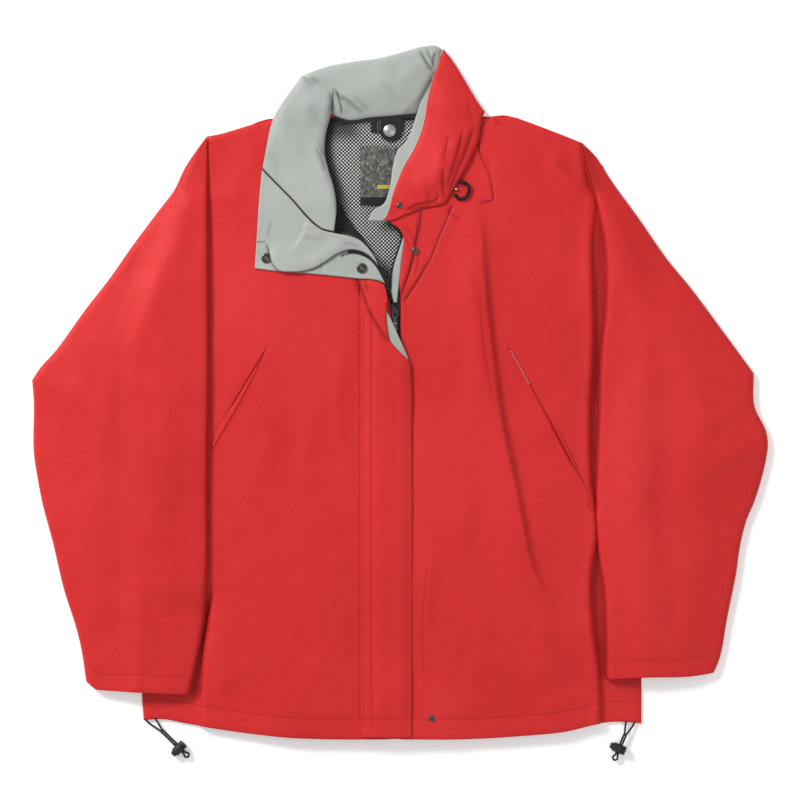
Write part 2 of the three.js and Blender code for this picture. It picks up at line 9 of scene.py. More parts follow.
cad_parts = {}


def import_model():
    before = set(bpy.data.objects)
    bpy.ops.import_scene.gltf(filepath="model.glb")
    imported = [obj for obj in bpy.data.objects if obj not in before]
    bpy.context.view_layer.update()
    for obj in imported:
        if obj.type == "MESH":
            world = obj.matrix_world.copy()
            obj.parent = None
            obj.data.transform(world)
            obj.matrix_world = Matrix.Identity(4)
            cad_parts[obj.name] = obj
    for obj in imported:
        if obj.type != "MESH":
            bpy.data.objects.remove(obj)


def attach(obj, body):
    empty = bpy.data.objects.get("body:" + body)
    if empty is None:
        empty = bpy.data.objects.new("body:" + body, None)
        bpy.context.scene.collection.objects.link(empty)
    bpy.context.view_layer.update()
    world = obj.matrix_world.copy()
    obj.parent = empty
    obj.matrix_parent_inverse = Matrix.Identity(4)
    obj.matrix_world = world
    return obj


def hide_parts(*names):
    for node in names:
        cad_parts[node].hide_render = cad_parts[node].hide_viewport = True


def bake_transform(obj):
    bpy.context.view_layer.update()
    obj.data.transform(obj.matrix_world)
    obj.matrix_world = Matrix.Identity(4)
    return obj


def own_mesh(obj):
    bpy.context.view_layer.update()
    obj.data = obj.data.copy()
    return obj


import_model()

for spare in ("Cube", "Light", "Camera"):
    if spare in bpy.data.objects:
        bpy.data.objects.remove(bpy.data.objects[spare])
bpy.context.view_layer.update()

# Shapes are written in millimetres: x from the middle of the body, y up the body, z off the floor.
CX = -10.0              # where the middle of the body is in the frame
MM = 0.001
RNG = np.random.default_rng(11)


def smooth(t):
    t = np.clip(t, 0, 1)
    return t * t * (3 - 2 * t)


def roll(d, r):
    """quarter round: 0 at an edge, 1 at r in from it"""
    t = 1 - np.clip(d / r, 0, 1)
    return np.sqrt(np.maximum(0, 1 - t * t))


GRADS = RNG.normal(size=(8, 64, 64, 2))
GRADS /= np.linalg.norm(GRADS, axis=-1, keepdims=True)


def noise(x, y, seed=0):
    g = GRADS[seed % 8]
    x = np.asarray(x, float) + 13.7 * seed + 500
    y = np.asarray(y, float) + 7.3 * seed + 500
    i, j = np.floor(x).astype(int), np.floor(y).astype(int)
    u, v = x - i, y - j
    a, b = u * u * u * (u * (u * 6 - 15) + 10), v * v * v * (v * (v * 6 - 15) + 10)

    def corner(p, q):
        k = g[(i + p) % 64, (j + q) % 64]
        return k[..., 0] * (u - p) + k[..., 1] * (v - q)
    low = corner(0, 0) * (1 - a) + corner(1, 0) * a
    high = corner(0, 1) * (1 - a) + corner(1, 1) * a
    return 1.5 * (low * (1 - b) + high * b)


# ---- lines and outlines
def curve(points, step=3.0, closed=False, corner=38):
    """smooth line through the points; turns sharper than `corner` degrees stay sharp"""
    p = np.array(points, float)
    n = len(p)
    out = []
    last = n if closed else n - 1

    def at(k):
        return p[k % n] if closed else p[min(max(k, 0), n - 1)]

    def tangent(k, side):
        a, b, c = at(k - 1), at(k), at(k + 1)
        u, v = b - a, c - b
        lu, lv = np.hypot(*u), np.hypot(*v)
        if lu < 1e-9 or lv < 1e-9:
            return (v if lu < 1e-9 else u)
        turn = math.degrees(math.acos(max(-1, min(1, float(u @ v) / (lu * lv)))))
        if turn > corner:
            return v if side > 0 else u
        t = (u / lu + v / lv) / 2
        return t * (lv if side > 0 else lu)
    for k in range(last):
        a, b = at(k), at(k + 1)
        ta, tb = tangent(k, 1), tangent(k + 1, -1)
        count = max(1, int(round(np.hypot(*(b - a)) / step)))
        for m in range(count):
            t = m / count
            h = [2 * t**3 - 3 * t * t + 1, t**3 - 2 * t * t + t, -2 * t**3 + 3 * t * t, t**3 - t * t]
            out.append(h[0] * a + h[1] * ta + h[2] * b + h[3] * tb)
    if not closed:
        out.append(p[-1])
    return np.array(out)


def measure(x, y, line):
    """signed distance from a line, + on its left, and the place along it from 0 to 1"""
    line = np.asarray(line, float)
    x, y = np.asarray(x, float), np.asarray(y, float)
    best = np.full(x.shape, 1e18)
    side = np.ones(x.shape)
    place = np.zeros(x.shape)
    lengths = np.hypot(*(line[1:] - line[:-1]).T)
    total, run = lengths.sum(), 0.0
    for a, b, n in zip(line[:-1], line[1:], lengths):
        if n < 1e-9:
            continue
        ux, uy = (b - a) / n
        t = np.clip((x - a[0]) * ux + (y - a[1]) * uy, 0, n)
        dx, dy = x - a[0] - ux * t, y - a[1] - uy * t
        q = dx * dx + dy * dy
        near = q < best
        best = np.where(near, q, best)
        side = np.where(near, np.where(ux * dy - uy * dx >= 0, 1.0, -1.0), side)
        place = np.where(near, (run + t) / total, place)
        run += n
    return np.sqrt(best) * side, place


def away(x, y, line):
    return np.abs(measure(x, y, line)[0])


def closed(outline):
    """the outline with its first point again at its end, to measure distances from"""
    return np.vstack([outline, outline[:1]])


def travelled(line):
    """the distance along a line to each of its points"""
    steps = np.linalg.norm(line[1:] - line[:-1], axis=1)
    return np.concatenate([[0], np.cumsum(steps)])


def at_places(line, places):
    """points on a line at distances along it"""
    run = travelled(line)
    return np.stack([np.interp(places, run, v) for v in line.T], axis=1)


def left_of(line):
    """unit vectors along a line, and unit vectors to its left"""
    tan = np.gradient(line, axis=0)
    tan /= np.maximum(1e-9, np.hypot(*tan.T))[:, None]
    return tan, np.stack([-tan[:, 1], tan[:, 0]], 1)


def inside(x, y, loop):
    x, y = np.asarray(x, float), np.asarray(y, float)
    hit = np.zeros(x.shape, bool)
    for a, b in zip(loop, np.roll(loop, -1, axis=0)):
        if a[1] == b[1]:
            continue
        cut = (a[1] > y) != (b[1] > y)
        hit ^= cut & (x < a[0] + (b[0] - a[0]) * (y - a[1]) / (b[1] - a[1]))
    return hit


def fold(x, y, line, h, left, right, ends=0.25):
    """soft ridge along a line, with its own width on each side"""
    s, u = measure(x, y, line)
    taper = smooth(u / ends) * smooth((1 - u) / ends)
    return h * taper * np.exp(-(s / np.where(s > 0, left, right)) ** 2)


def groove(x, y, line, h=0.5, w=1.0):
    return -h * np.exp(-(away(x, y, line) / w) ** 2)


def mark(points, depth, width, dark, spread, fine=True, ends=0.2, step=2.5):
    """a crease or seam: its line, valley depth and width, and how dark and wide its painted shade is"""
    return (curve(points, step), depth, width, dark, spread, fine, ends)


def fading(u, ends):
    """how strong a mark is along its line: less towards both ends"""
    return smooth(u / ends + 0.02) * smooth((1 - u) / ends + 0.02)


def creased(x, y, marks):
    """how far creases lower the cloth"""
    z = np.zeros_like(x)
    for line, depth, width, _, _, _, ends in marks:
        if depth:
            s, u = measure(x, y, line)
            z -= depth * fading(u, ends) * np.exp(-np.abs(s) / width)
    return z


def painted_crease_shade(x, y, marks):
    """painted shade of creases and seams: how much each darkens the cloth; a pair for spread gives each side its own
    width
    """
    left = np.ones_like(x)
    for line, _, _, dark, spread, _, ends in marks:
        if dark:
            s, u = measure(x, y, line)
            wide = spread if isinstance(spread, tuple) else (spread, spread)
            band = np.exp(-np.abs(s / np.where(s > 0, *wide)) ** 1.4)
            left *= 1 - dark * band * fading(u, ends)
    return 1 - left


# ---- meshes
def new_object(name, verts, faces, mats, smooth_faces=True, index=None):
    mesh = bpy.data.meshes.new(name)
    verts = np.asarray(verts, float)
    mesh.vertices.add(len(verts))
    mesh.vertices.foreach_set("co", verts.ravel())
    sizes = np.array([len(f) for f in faces])
    mesh.loops.add(int(sizes.sum()))
    mesh.loops.foreach_set("vertex_index", np.concatenate([np.asarray(f) for f in faces]))
    mesh.polygons.add(len(faces))
    mesh.polygons.foreach_set("loop_start", np.concatenate([[0], np.cumsum(sizes)[:-1]]))
    mesh.update(calc_edges=True)
    mesh.polygons.foreach_set("use_smooth", [smooth_faces] * len(faces))
    for m in mats if isinstance(mats, (list, tuple)) else [mats]:
        mesh.materials.append(m)
    if index is not None:
        mesh.polygons.foreach_set("material_index", index)
    mesh.validate()
    obj = bpy.data.objects.new(name, mesh)
    bpy.context.scene.collection.objects.link(obj)
    return obj


def world(p):
    p = np.asarray(p, float)
    return (p + [CX, 0, 0]) * MM


def triangles(loop, spacing, lines=(), rims=(0.5, 1.3, 2.6, 4.4), offsets=(0, 0.6, 1.4, 2.6)):
    """flat triangles inside an outline, with close rows along its edge and along the lines"""
    n = len(loop)
    extra = []
    nxt, prv = np.roll(loop, -1, axis=0), np.roll(loop, 1, axis=0)
    tan = nxt - prv
    tan /= np.maximum(1e-9, np.hypot(*tan.T))[:, None]
    area = 0.5 * np.sum(loop[:, 0] * nxt[:, 1] - nxt[:, 0] * loop[:, 1])
    normal = np.stack([-tan[:, 1], tan[:, 0]], 1) * (1 if area > 0 else -1)
    ring = closed(loop)
    for d in rims:
        p = loop + normal * d
        keep = inside(p[:, 0], p[:, 1], loop) & (away(p[:, 0], p[:, 1], ring) > d * 0.93)
        extra.append(p[keep])
    rows = []
    for line in lines:
        norm = left_of(line)[1]
        for d in offsets:
            for s in ((1, -1) if d else (1,)):
                rows.append(line + norm * d * s)
    if rows:
        p = np.vstack(rows)
        keep = inside(p[:, 0], p[:, 1], loop) & (away(p[:, 0], p[:, 1], ring) > 1.0)
        extra.append(p[keep])
    lo, hi = loop.min(0), loop.max(0)
    xs = np.arange(lo[0], hi[0], spacing)
    ys = np.arange(lo[1], hi[1], spacing * 0.866)
    gx, gy = np.meshgrid(xs, ys)
    gx = gx + (np.arange(len(ys)) % 2)[:, None] * spacing / 2
    gx = gx.ravel() + RNG.uniform(-0.12, 0.12, gx.size) * spacing
    gy = gy.ravel() + RNG.uniform(-0.12, 0.12, gy.size) * spacing
    keep = inside(gx, gy, loop)
    gx, gy = gx[keep], gy[keep]
    keep = away(gx, gy, ring) > (max(rims) if rims else 0) + spacing * 0.45
    for line in lines:
        keep &= away(gx, gy, line) > max(offsets) + spacing * 0.35
    extra.append(np.stack([gx[keep], gy[keep]], 1))
    pts = np.vstack([loop, *extra])
    edges = [(k, (k + 1) % n) for k in range(n)]
    out = delaunay_2d_cdt([Vector(p) for p in pts], edges, [], 1, 1e-5)
    return np.array([[v.x, v.y] for v in out[0]]), np.array([list(f) for f in out[2]])


def thicken(top, tris, t):
    """closed cloth: the sheet, a copy below it along its normals, and its edge"""
    a, b, c = top[tris[:, 0]], top[tris[:, 1]], top[tris[:, 2]]
    fn = np.cross(b - a, c - a)
    flip = fn[:, 2] < 0
    tris = tris.copy()
    tris[flip] = tris[flip][:, ::-1]
    fn[flip] *= -1
    vn = np.zeros_like(top)
    for k in range(3):
        np.add.at(vn, tris[:, k], fn)
    vn /= np.maximum(1e-12, np.linalg.norm(vn, axis=1))[:, None]
    low = top - vn * t
    n = len(top)
    pairs = np.vstack([tris[:, [0, 1]], tris[:, [1, 2]], tris[:, [2, 0]]])
    key = {}
    for p, q in pairs:
        key[(p, q)] = key.get((p, q), 0) + 1
    rim = [(p, q) for (p, q) in key if (q, p) not in key]
    faces = [list(f) for f in tris] + [[c + n, b + n, a + n] for a, b, c in tris]
    faces += [[q, p, p + n, q + n] for p, q in rim]
    index = [0] * len(tris) + [1] * len(tris) + [0] * len(rim)
    return np.vstack([top, low]), faces, index


def cut_size(loop):
    """the smallest rectangle that a flat cut comes out of, and the cut's area, in metres"""
    best = None
    for a in np.radians(np.arange(0, 90, 3)):
        turned = loop @ np.array([[math.cos(a), -math.sin(a)], [math.sin(a), math.cos(a)]])
        size = turned.max(0) - turned.min(0)
        if best is None or size[0] * size[1] < best[0] * best[1]:
            best = size
    nxt = np.roll(loop, -1, axis=0)
    area = abs(0.5 * np.sum(loop[:, 0] * nxt[:, 1] - nxt[:, 0] * loop[:, 1])) * MM * MM
    width, length = sorted(float(v) * MM for v in best)
    return width, length, min(float(area), width * length)


def cloth(name, loop, height, mats, nodes=(), body="jacket", slot=None, t=0.7, spacing=5.0,
          lines=(), rims=(0.5, 1.3, 2.6, 4.4), offsets=(0, 0.6, 1.4, 2.6), blend=None,
          marks=(), painted_shade=None):
    """one layer of cloth: its outline, its height over the floor and its painted shade, closed and ridden"""
    lines = [*lines, *[m[0] for m in marks if m[5]]]
    flat, tris = triangles(loop, spacing, lines, rims, offsets)
    x, y = flat[:, 0], flat[:, 1]
    z = height(x, y) + creased(x, y, marks)
    verts, faces, index = thicken(np.column_stack([flat, z]), tris, t)
    mats = mats if isinstance(mats, (list, tuple)) else [mats, mats]
    slot = slot or SLOTS[mats[0]]
    obj = new_object(name, world(verts), faces, mats, index=index)
    # painted shade of creases, seams and trenches, kept on the points for the material
    dark = painted_crease_shade(x, y, marks)
    if painted_shade is not None:
        dark = 1 - (1 - dark) * (1 - painted_shade(x, y))
    layer = obj.data.attributes.new("painted_shade", "FLOAT", "POINT")
    layer.data.foreach_set("value", np.concatenate([dark, dark]).astype(np.float32))
    finish(obj, body, nodes, slot, blend)
    width, length, area = cut_size(loop)
    return obj


def finish(obj, body, nodes=(), slot=None, blend=None):
    if blend:
        a, b, start, end = blend
        tuple(world(start))
        tuple(world(end))
        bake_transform(obj)
    else:
        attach(obj, body)
    if nodes:
        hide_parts(*nodes)


def stitches(name, rows, mat, body="jacket", slot=None, pitch=3.4, length=2.4, r=0.28, blend=None):
    """a thread seen as short raised stitches; rows are (line, height) pairs"""
    verts, faces = [], []
    for line, height in rows:
        total = travelled(line)[-1]
        places = np.arange(pitch / 2, total, pitch)
        ends = [at_places(line, np.clip(places + s * length, 0, total)) for s in (-0.5, 0.5)]
        za, zb = height(*ends[0].T), height(*ends[1].T)
        for a, b, p, q in zip(ends[0], ends[1], za, zb):
            a3, b3 = np.array([*a, p + 0.05]), np.array([*b, q + 0.05])
            d = b3 - a3
            side = np.array([-d[1], d[0], 0]) / max(1e-9, np.hypot(d[0], d[1])) * r
            up = np.array([0, 0, r * 0.9])
            n = len(verts)
            m1, m2 = a3 + d * 0.2 + up * 0.2, b3 - d * 0.2 + up * 0.2
            verts += [a3, m1 + side, m1 + up, m1 - side, m2 + side, m2 + up, m2 - side, b3]
            faces += [[n, n + 2, n + 1], [n, n + 3, n + 2], [n + 1, n + 2, n + 5, n + 4],
                      [n + 2, n + 3, n + 6, n + 5], [n + 4, n + 5, n + 7], [n + 5, n + 6, n + 7],
                      [n, n + 1, n + 4, n + 7], [n, n + 7, n + 6, n + 3]]
    obj = new_object(name, world(verts), faces, mat)
    finish(obj, body, (), slot, blend)
    return obj


def lathe(name, profile, centre, mat, body, nodes=(), slot=None, steps=36, frame3=None):
    """profile of (radius, height) turned about +Z, or about the third axis of frame3"""
    verts, faces = [], []
    m = len(profile)
    for k in range(steps):
        a = 2 * math.pi * k / steps
        verts += [(r * math.cos(a), r * math.sin(a), h) for r, h in profile]
    for k in range(steps):
        o, p = k * m, (k + 1) % steps * m
        faces += [[o + i, p + i, p + i + 1, o + i + 1] for i in range(m - 1)]
    verts = np.array(verts)
    if frame3 is not None:
        verts = verts @ np.array(frame3)
    obj = new_object(name, world(verts + np.array(centre)), faces, mat)
    bm = bmesh.new()
    bm.from_mesh(obj.data)
    bmesh.ops.remove_doubles(bm, verts=bm.verts, dist=1e-7)
    bmesh.ops.recalc_face_normals(bm, faces=bm.faces)
    bm.to_mesh(obj.data)
    bm.free()
    obj.data.set_sharp_from_angle(angle=math.radians(40))
    if body:
        finish(obj, body, nodes, slot)
    return obj


def block(name, outline, z0, z1, mat, body=None, nodes=(), slot=None, bevel=0.25, frame3=None, at=(0, 0, 0)):
    """flat piece of an outline between two heights, with rounded edges"""
    n = len(outline)
    verts = np.array([[x, y, z0] for x, y in outline] + [[x, y, z1] for x, y in outline], float)
    faces = [list(range(n))[::-1], [k + n for k in range(n)]]
    faces += [[k, (k + 1) % n, (k + 1) % n + n, k + n] for k in range(n)]
    if frame3 is not None:
        verts = verts @ np.array(frame3)
    obj = new_object(name, world(verts + np.array(at)), faces, mat, smooth_faces=False)
    bm = bmesh.new()
    bm.from_mesh(obj.data)
    bmesh.ops.recalc_face_normals(bm, faces=bm.faces)
    if bevel:
        edges = [e for e in bm.edges if e.calc_face_angle(0) > 0.5]
        bmesh.ops.bevel(bm, geom=edges, offset=bevel * MM, segments=2, affect="EDGES", profile=0.5)
    bm.to_mesh(obj.data)
    bm.free()
    obj.data.polygons.foreach_set("use_smooth", [True] * len(obj.data.polygons))
    obj.data.set_sharp_from_angle(angle=math.radians(35))
    if body:
        finish(obj, body, nodes, slot)
    return obj


def join(objs, name):
    bpy.ops.object.select_all(action="DESELECT")
    for o in objs:
        o.select_set(True)
    bpy.context.view_layer.objects.active = objs[0]
    bpy.ops.object.join()
    objs[0].name = name
    return objs[0]


def cut(obj, tool):
    m = obj.modifiers.new("cut", "BOOLEAN")
    m.object, m.operation, m.solver = tool, "DIFFERENCE", "EXACT"
    bpy.context.view_layer.objects.active = obj
    bpy.ops.object.modifier_apply(modifier=m.name)
    bpy.data.objects.remove(tool)


# ---- materials
class Shader:
    def __init__(self, name):
        self.mat = bpy.data.materials.new(name)
        self.mat.use_nodes = True
        self.t = self.mat.node_tree
        self.bsdf = self.t.nodes["Principled BSDF"]
        self.at = self.node("ShaderNodeTexCoord").outputs["Object"]
        self.bump_in = None

    def node(self, kind, **values):
        n = self.t.nodes.new(kind)
        for k, v in values.items():
            setattr(n, k, v)
        return n

    def set(self, **values):
        for k, v in values.items():
            self.bsdf.inputs[k.replace("_", " ")].default_value = v

    def link(self, a, b):
        self.t.links.new(a, b)

    def scaled(self, sx, sy, sz, turn=0.0):
        m = self.node("ShaderNodeMapping")
        m.inputs["Scale"].default_value = (sx, sy, sz)
        m.inputs["Rotation"].default_value = (0, 0, turn)
        self.link(self.at, m.inputs["Vector"])
        return m.outputs["Vector"]

    def noise(self, scale, detail=3.0, rough=0.5, at=None, distort=0.0):
        n = self.node("ShaderNodeTexNoise")
        n.inputs["Scale"].default_value = scale
        n.inputs["Detail"].default_value = detail
        n.inputs["Roughness"].default_value = rough
        n.inputs["Distortion"].default_value = distort
        self.link(at or self.at, n.inputs["Vector"])
        return n.outputs["Fac"]

    def wave(self, scale, axis="X", at=None):
        n = self.node("ShaderNodeTexWave", wave_type="BANDS", bands_direction=axis)
        n.inputs["Scale"].default_value = scale
        n.inputs["Distortion"].default_value = 0.0
        self.link(at or self.at, n.inputs["Vector"])
        return n.outputs["Fac"]

    def ramp(self, fac, stops):
        n = self.node("ShaderNodeValToRGB")
        while len(n.color_ramp.elements) < len(stops):
            n.color_ramp.elements.new(0.5)
        for e, (pos, c) in zip(n.color_ramp.elements, stops):
            e.position = pos
            e.color = (*c, 1) if len(c) == 3 else c
        self.link(fac, n.inputs["Fac"])
        return n.outputs["Color"]

    def grey(self, fac, low, high, a=0.3, b=0.7):
        n = self.node("ShaderNodeMapRange")
        n.inputs["From Min"].default_value = a
        n.inputs["From Max"].default_value = b
        n.inputs["To Min"].default_value = low
        n.inputs["To Max"].default_value = high
        self.link(fac, n.inputs["Value"])
        return n.outputs["Result"]

    def math(self, op, a, b):
        n = self.node("ShaderNodeMath", operation=op)
        for k, v in enumerate((a, b)):
            if isinstance(v, (int, float)):
                n.inputs[k].default_value = v
            else:
                self.link(v, n.inputs[k])
        return n.outputs["Value"]

    def mix(self, fac, a, b):
        n = self.node("ShaderNodeMix", data_type="RGBA", blend_type="MIX")
        for sock, v in ((n.inputs[0], fac), (n.inputs[6], a), (n.inputs[7], b)):
            if isinstance(v, (int, float)):
                sock.default_value = v
            elif isinstance(v, tuple):
                sock.default_value = (*v, 1)
            else:
                self.link(v, sock)
        return n.outputs[2]

    def bump(self, height, strength, distance):
        n = self.node("ShaderNodeBump")
        n.inputs["Strength"].default_value = strength
        n.inputs["Distance"].default_value = distance
        self.link(height, n.inputs["Height"])
        if self.bump_in is not None:
            self.link(self.bump_in, n.inputs["Normal"])
        self.bump_in = n.outputs["Normal"]
        self.link(self.bump_in, self.bsdf.inputs["Normal"])

    def colour(self, out):
        self.link(out, self.bsdf.inputs["Base Color"])

    def rough(self, out):
        self.link(out, self.bsdf.inputs["Roughness"])


def cloth_material(name, deep, mid, pale, rough=(0.5, 0.66), crinkle=0.5, sheen=0.05, stain=None,
                   painted_shade_colour=(0.05, 0.05, 0.048)):
    s = Shader(name)
    broad = s.noise(5.0, 4, 0.55)
    fine = s.noise(90.0, 4, 0.6)
    c = s.ramp(broad, [(0.30, deep), (0.5, mid), (0.70, pale)])
    c = s.mix(s.grey(fine, 0.0, 0.16), c, pale)
    if stain:
        c = s.mix(s.grey(s.noise(14.0, 5, 0.65), 0.0, 0.35, 0.56, 0.72), c, stain)
    thread = s.math("MULTIPLY", s.wave(330, "X"), s.wave(330, "Y"))
    c = s.mix(s.math("MULTIPLY", thread, 0.10), c, deep)
    edge = s.node("ShaderNodeNewGeometry").outputs["Pointiness"]
    c = s.mix(s.grey(edge, 0.0, 0.35, 0.52, 0.6), c, pale)
    # painted shade: a point attribute darkens the colour towards the shade colour in creases, seams and trenches
    painted_shade = s.node("ShaderNodeAttribute", attribute_name="painted_shade").outputs["Fac"]
    c = s.mix(painted_shade, c, painted_shade_colour)
    s.colour(c)
    s.rough(s.grey(s.noise(40.0, 3, 0.6), *rough))
    s.bump(s.noise(38.0, 3, 0.55, distort=0.4), crinkle, 0.0012)
    s.bump(s.noise(160.0, 3, 0.6), crinkle * 0.6, 0.00025)
    s.bump(s.math("MULTIPLY", s.wave(330, "X"), s.wave(330, "Y")), 0.25, 0.00008)
    s.set(Specular_IOR_Level=0.2, Sheen_Weight=sheen, Sheen_Roughness=0.45)
    return s.mat


# each cloth's shade colour, given last or left at its default, is the painted shade for its creases, seams and
# trenches
RED = cloth_material("shell_red", (0.565, 0.018, 0.019), (0.62, 0.022, 0.023), (0.665, 0.029, 0.030),
                     crinkle=0.7, sheen=0.0, painted_shade_colour=(0.19, 0.0006, 0.001))
RED_IN = cloth_material("shell_inside", (0.78, 0.78, 0.74), (0.84, 0.84, 0.81), (0.90, 0.90, 0.87), crinkle=0.3,
                        painted_shade_colour=(0.02, 0.02, 0.02))
GREY = cloth_material("facing_grey", (0.32, 0.345, 0.325), (0.385, 0.412, 0.385), (0.44, 0.465, 0.44),
                      rough=(0.42, 0.58), crinkle=0.5, sheen=0.08, stain=(0.36, 0.36, 0.29))
GREY_IN = cloth_material("facing_back", (0.28, 0.30, 0.29), (0.33, 0.35, 0.335), (0.38, 0.40, 0.385), crinkle=0.3)


def mesh_material():
    s = Shader("lining_mesh")
    p = s.scaled(1, 1, 1, math.radians(45))
    a = s.wave(101.3, "X", p)
    b = s.wave(101.3, "Y", p)
    holes = s.grey(s.math("MULTIPLY", a, b), 0.0, 1.0, 0.42, 0.5)
    dark = s.mix(s.noise(60.0, 3), (0.012, 0.013, 0.015), (0.03, 0.031, 0.034))
    s.colour(s.mix(holes, dark, (0.55, 0.55, 0.5)))
    s.bump(s.math("MULTIPLY", a, b), 0.5, 0.0003)
    s.rough(s.grey(s.noise(80.0), 0.6, 0.8))
    return s.mat


def knit_material():
    s = Shader("mesh_knit")
    s.colour(s.mix(s.noise(70.0, 3), (0.006, 0.0065, 0.008), (0.018, 0.019, 0.021)))
    s.bump(s.wave(500, "DIAGONAL"), 0.4, 0.0001)
    s.rough(s.grey(s.noise(90.0), 0.6, 0.8))
    s.set(Specular_IOR_Level=0.15)
    return s.mat


def tape_material(name, low, high, ribs=260):
    s = Shader(name)
    s.colour(s.mix(s.noise(50.0, 4), low, high))
    s.bump(s.wave(ribs, "Y"), 0.6, 0.0002)
    s.bump(s.wave(ribs * 1.6, "X"), 0.3, 0.0001)
    s.rough(s.grey(s.noise(90.0), 0.55, 0.8))
    s.set(Sheen_Weight=0.06, Specular_IOR_Level=0.2)
    return s.mat


def label_material():
    s = Shader("label")
    p = s.scaled(1.0, 0.75, 1.0)
    mottled = s.noise(210.0, 8, 0.8, p, 0.6)
    c = s.ramp(mottled, [(0.36, (0.012, 0.013, 0.011)), (0.47, (0.06, 0.062, 0.054)),
                         (0.55, (0.15, 0.152, 0.135)), (0.64, (0.30, 0.30, 0.27))])
    s.colour(c)
    s.bump(s.wave(480, "Y"), 0.35, 0.0001)
    s.bump(mottled, 0.3, 0.0002)
    s.rough(s.grey(s.noise(90.0), 0.6, 0.8))
    return s.mat


def plastic_material(name, low, high, rough=(0.3, 0.5)):
    s = Shader(name)
    s.colour(s.mix(s.noise(120.0, 3), low, high))
    s.bump(s.noise(900.0, 2), 0.15, 0.0001)
    s.rough(s.grey(s.noise(200.0, 4), *rough))
    return s.mat


def metal_material(name, low, high, rough=(0.25, 0.45), worn_colour=(0.6, 0.58, 0.55)):
    s = Shader(name)
    c = s.mix(s.noise(300.0, 4), low, high)
    worn = s.node("ShaderNodeNewGeometry").outputs["Pointiness"]
    s.colour(s.mix(s.grey(worn, 0.0, 0.6, 0.52, 0.6), c, worn_colour))
    s.bump(s.noise(1500.0, 2, at=s.scaled(1, 8, 1)), 0.12, 0.00005)
    s.rough(s.grey(s.noise(400.0, 4), *rough))
    s.set(Metallic=1.0)
    return s.mat


MESH = mesh_material()
KNIT = knit_material()
TAPE = tape_material("tape_black", (0.008, 0.009, 0.010), (0.024, 0.025, 0.028))
LABEL = label_material()
THREAD_RED = tape_material("thread_red", (0.36, 0.010, 0.012), (0.50, 0.018, 0.02), 900)
THREAD_GREY = tape_material("thread_grey", (0.50, 0.53, 0.49), (0.62, 0.64, 0.60), 900)
THREAD_WHITE = tape_material("thread_white", (0.62, 0.62, 0.58), (0.78, 0.78, 0.74), 900)
YELLOW = tape_material("label_yellow", (0.50, 0.42, 0.05), (0.66, 0.56, 0.10), 700)
PLASTIC = plastic_material("black_plastic", (0.008, 0.008, 0.009), (0.02, 0.02, 0.022))
TEETH = plastic_material("zip_plastic", (0.010, 0.010, 0.012), (0.03, 0.03, 0.033), (0.35, 0.5))
GUN = metal_material("snap_metal", (0.045, 0.045, 0.042), (0.11, 0.105, 0.09), worn_colour=(0.38, 0.37, 0.35))
STEEL = metal_material("bright_metal", (0.42, 0.43, 0.45), (0.60, 0.61, 0.63))
BLACK_METAL = metal_material("zip_metal", (0.012, 0.012, 0.013), (0.03, 0.03, 0.032), (0.3, 0.45), (0.16, 0.16, 0.16))


def cord_material():
    s = Shader("cord")
    a = s.wave(240, "DIAGONAL")
    b = s.wave(240, "DIAGONAL", s.scaled(-1, 1, 1))
    braid = s.math("MULTIPLY", a, b)
    s.colour(s.mix(braid, (0.004, 0.004, 0.005), (0.022, 0.022, 0.024)))
    s.bump(braid, 0.7, 0.0003)
    s.rough(s.grey(s.noise(150.0), 0.55, 0.8))
    s.set(Specular_IOR_Level=0.3)
    return s.mat


CORD = cord_material()
# a slot name for each cloth material; a piece that belongs to another slot names it
SLOTS = {RED: "shell_red", RED_IN: "shell_red", GREY: "facing_grey", MESH: "lining_mesh", TAPE: "tape_black",
         LABEL: "label"}


def wire_tube(name, pts, r, mat):
    """a closed round wire along a path"""
    tan = np.gradient(pts, axis=0)
    tan /= np.linalg.norm(tan, axis=1)[:, None]
    side = np.cross(tan, [0.01, 0.02, 1.0])
    side /= np.linalg.norm(side, axis=1)[:, None]
    up = np.cross(side, tan)
    n, k = len(pts), 8
    verts = np.vstack([pts + r * (math.cos(a) * side + math.sin(a) * up)
                       for a in np.linspace(0, 2 * math.pi, k, endpoint=False)])
    faces = [[j * n + i, j * n + i + 1, (j + 1) % k * n + i + 1, (j + 1) % k * n + i]
             for j in range(k) for i in range(n - 1)]
    faces += [[j * n for j in range(k)][::-1], [j * n + n - 1 for j in range(k)]]
    return new_object(name, world(verts), faces, mat)


# ---- camera first, then the cords
cam_data = bpy.data.cameras.new("camera")
cam_data.lens, cam_data.sensor_width = 150, 36
cam = bpy.data.objects.new("camera", cam_data)
cam.location = (0, -0.0096, 4.006)
bpy.context.scene.collection.objects.link(cam)
bpy.context.scene.camera = cam


def cord(name, points, r, node):
    data = bpy.data.curves.new(name, "CURVE")
    data.dimensions = "3D"
    data.bevel_depth = r * MM
    data.bevel_resolution = 6
    data.resolution_u = 4
    data.use_fill_caps = True
    spline = data.splines.new("BEZIER")
    pts = world(points)
    spline.bezier_points.add(len(pts) - 1)
    for bp, p in zip(spline.bezier_points, pts):
        bp.co = p
        bp.handle_left_type = bp.handle_right_type = "AUTO"
    data.materials.append(CORD)
    obj = bpy.data.objects.new(name, data)
    bpy.context.scene.collection.objects.link(obj)
    finish(obj, "jacket", [node], "cord")
    dense = curve3(points)
    tuple(world(points[0]))


def curve3(points):
    """smooth line through points in space, twelve steps to a span"""
    p = [np.array(q, float) for q in points]
    p = [2 * p[0] - p[1], *p, 2 * p[-1] - p[-2]]
    out = []
    for k in range(1, len(p) - 2):
        for m in range(12):
            t = m / 12
            a, b, c, d = p[k - 1:k + 3]
            out.append(0.5 * ((2 * b) + (c - a) * t + (2 * a - 5 * b + 4 * c - d) * t * t
                              + (3 * b - a - 3 * c + d) * t**3))
    out.append(p[-2])
    return np.array(out)


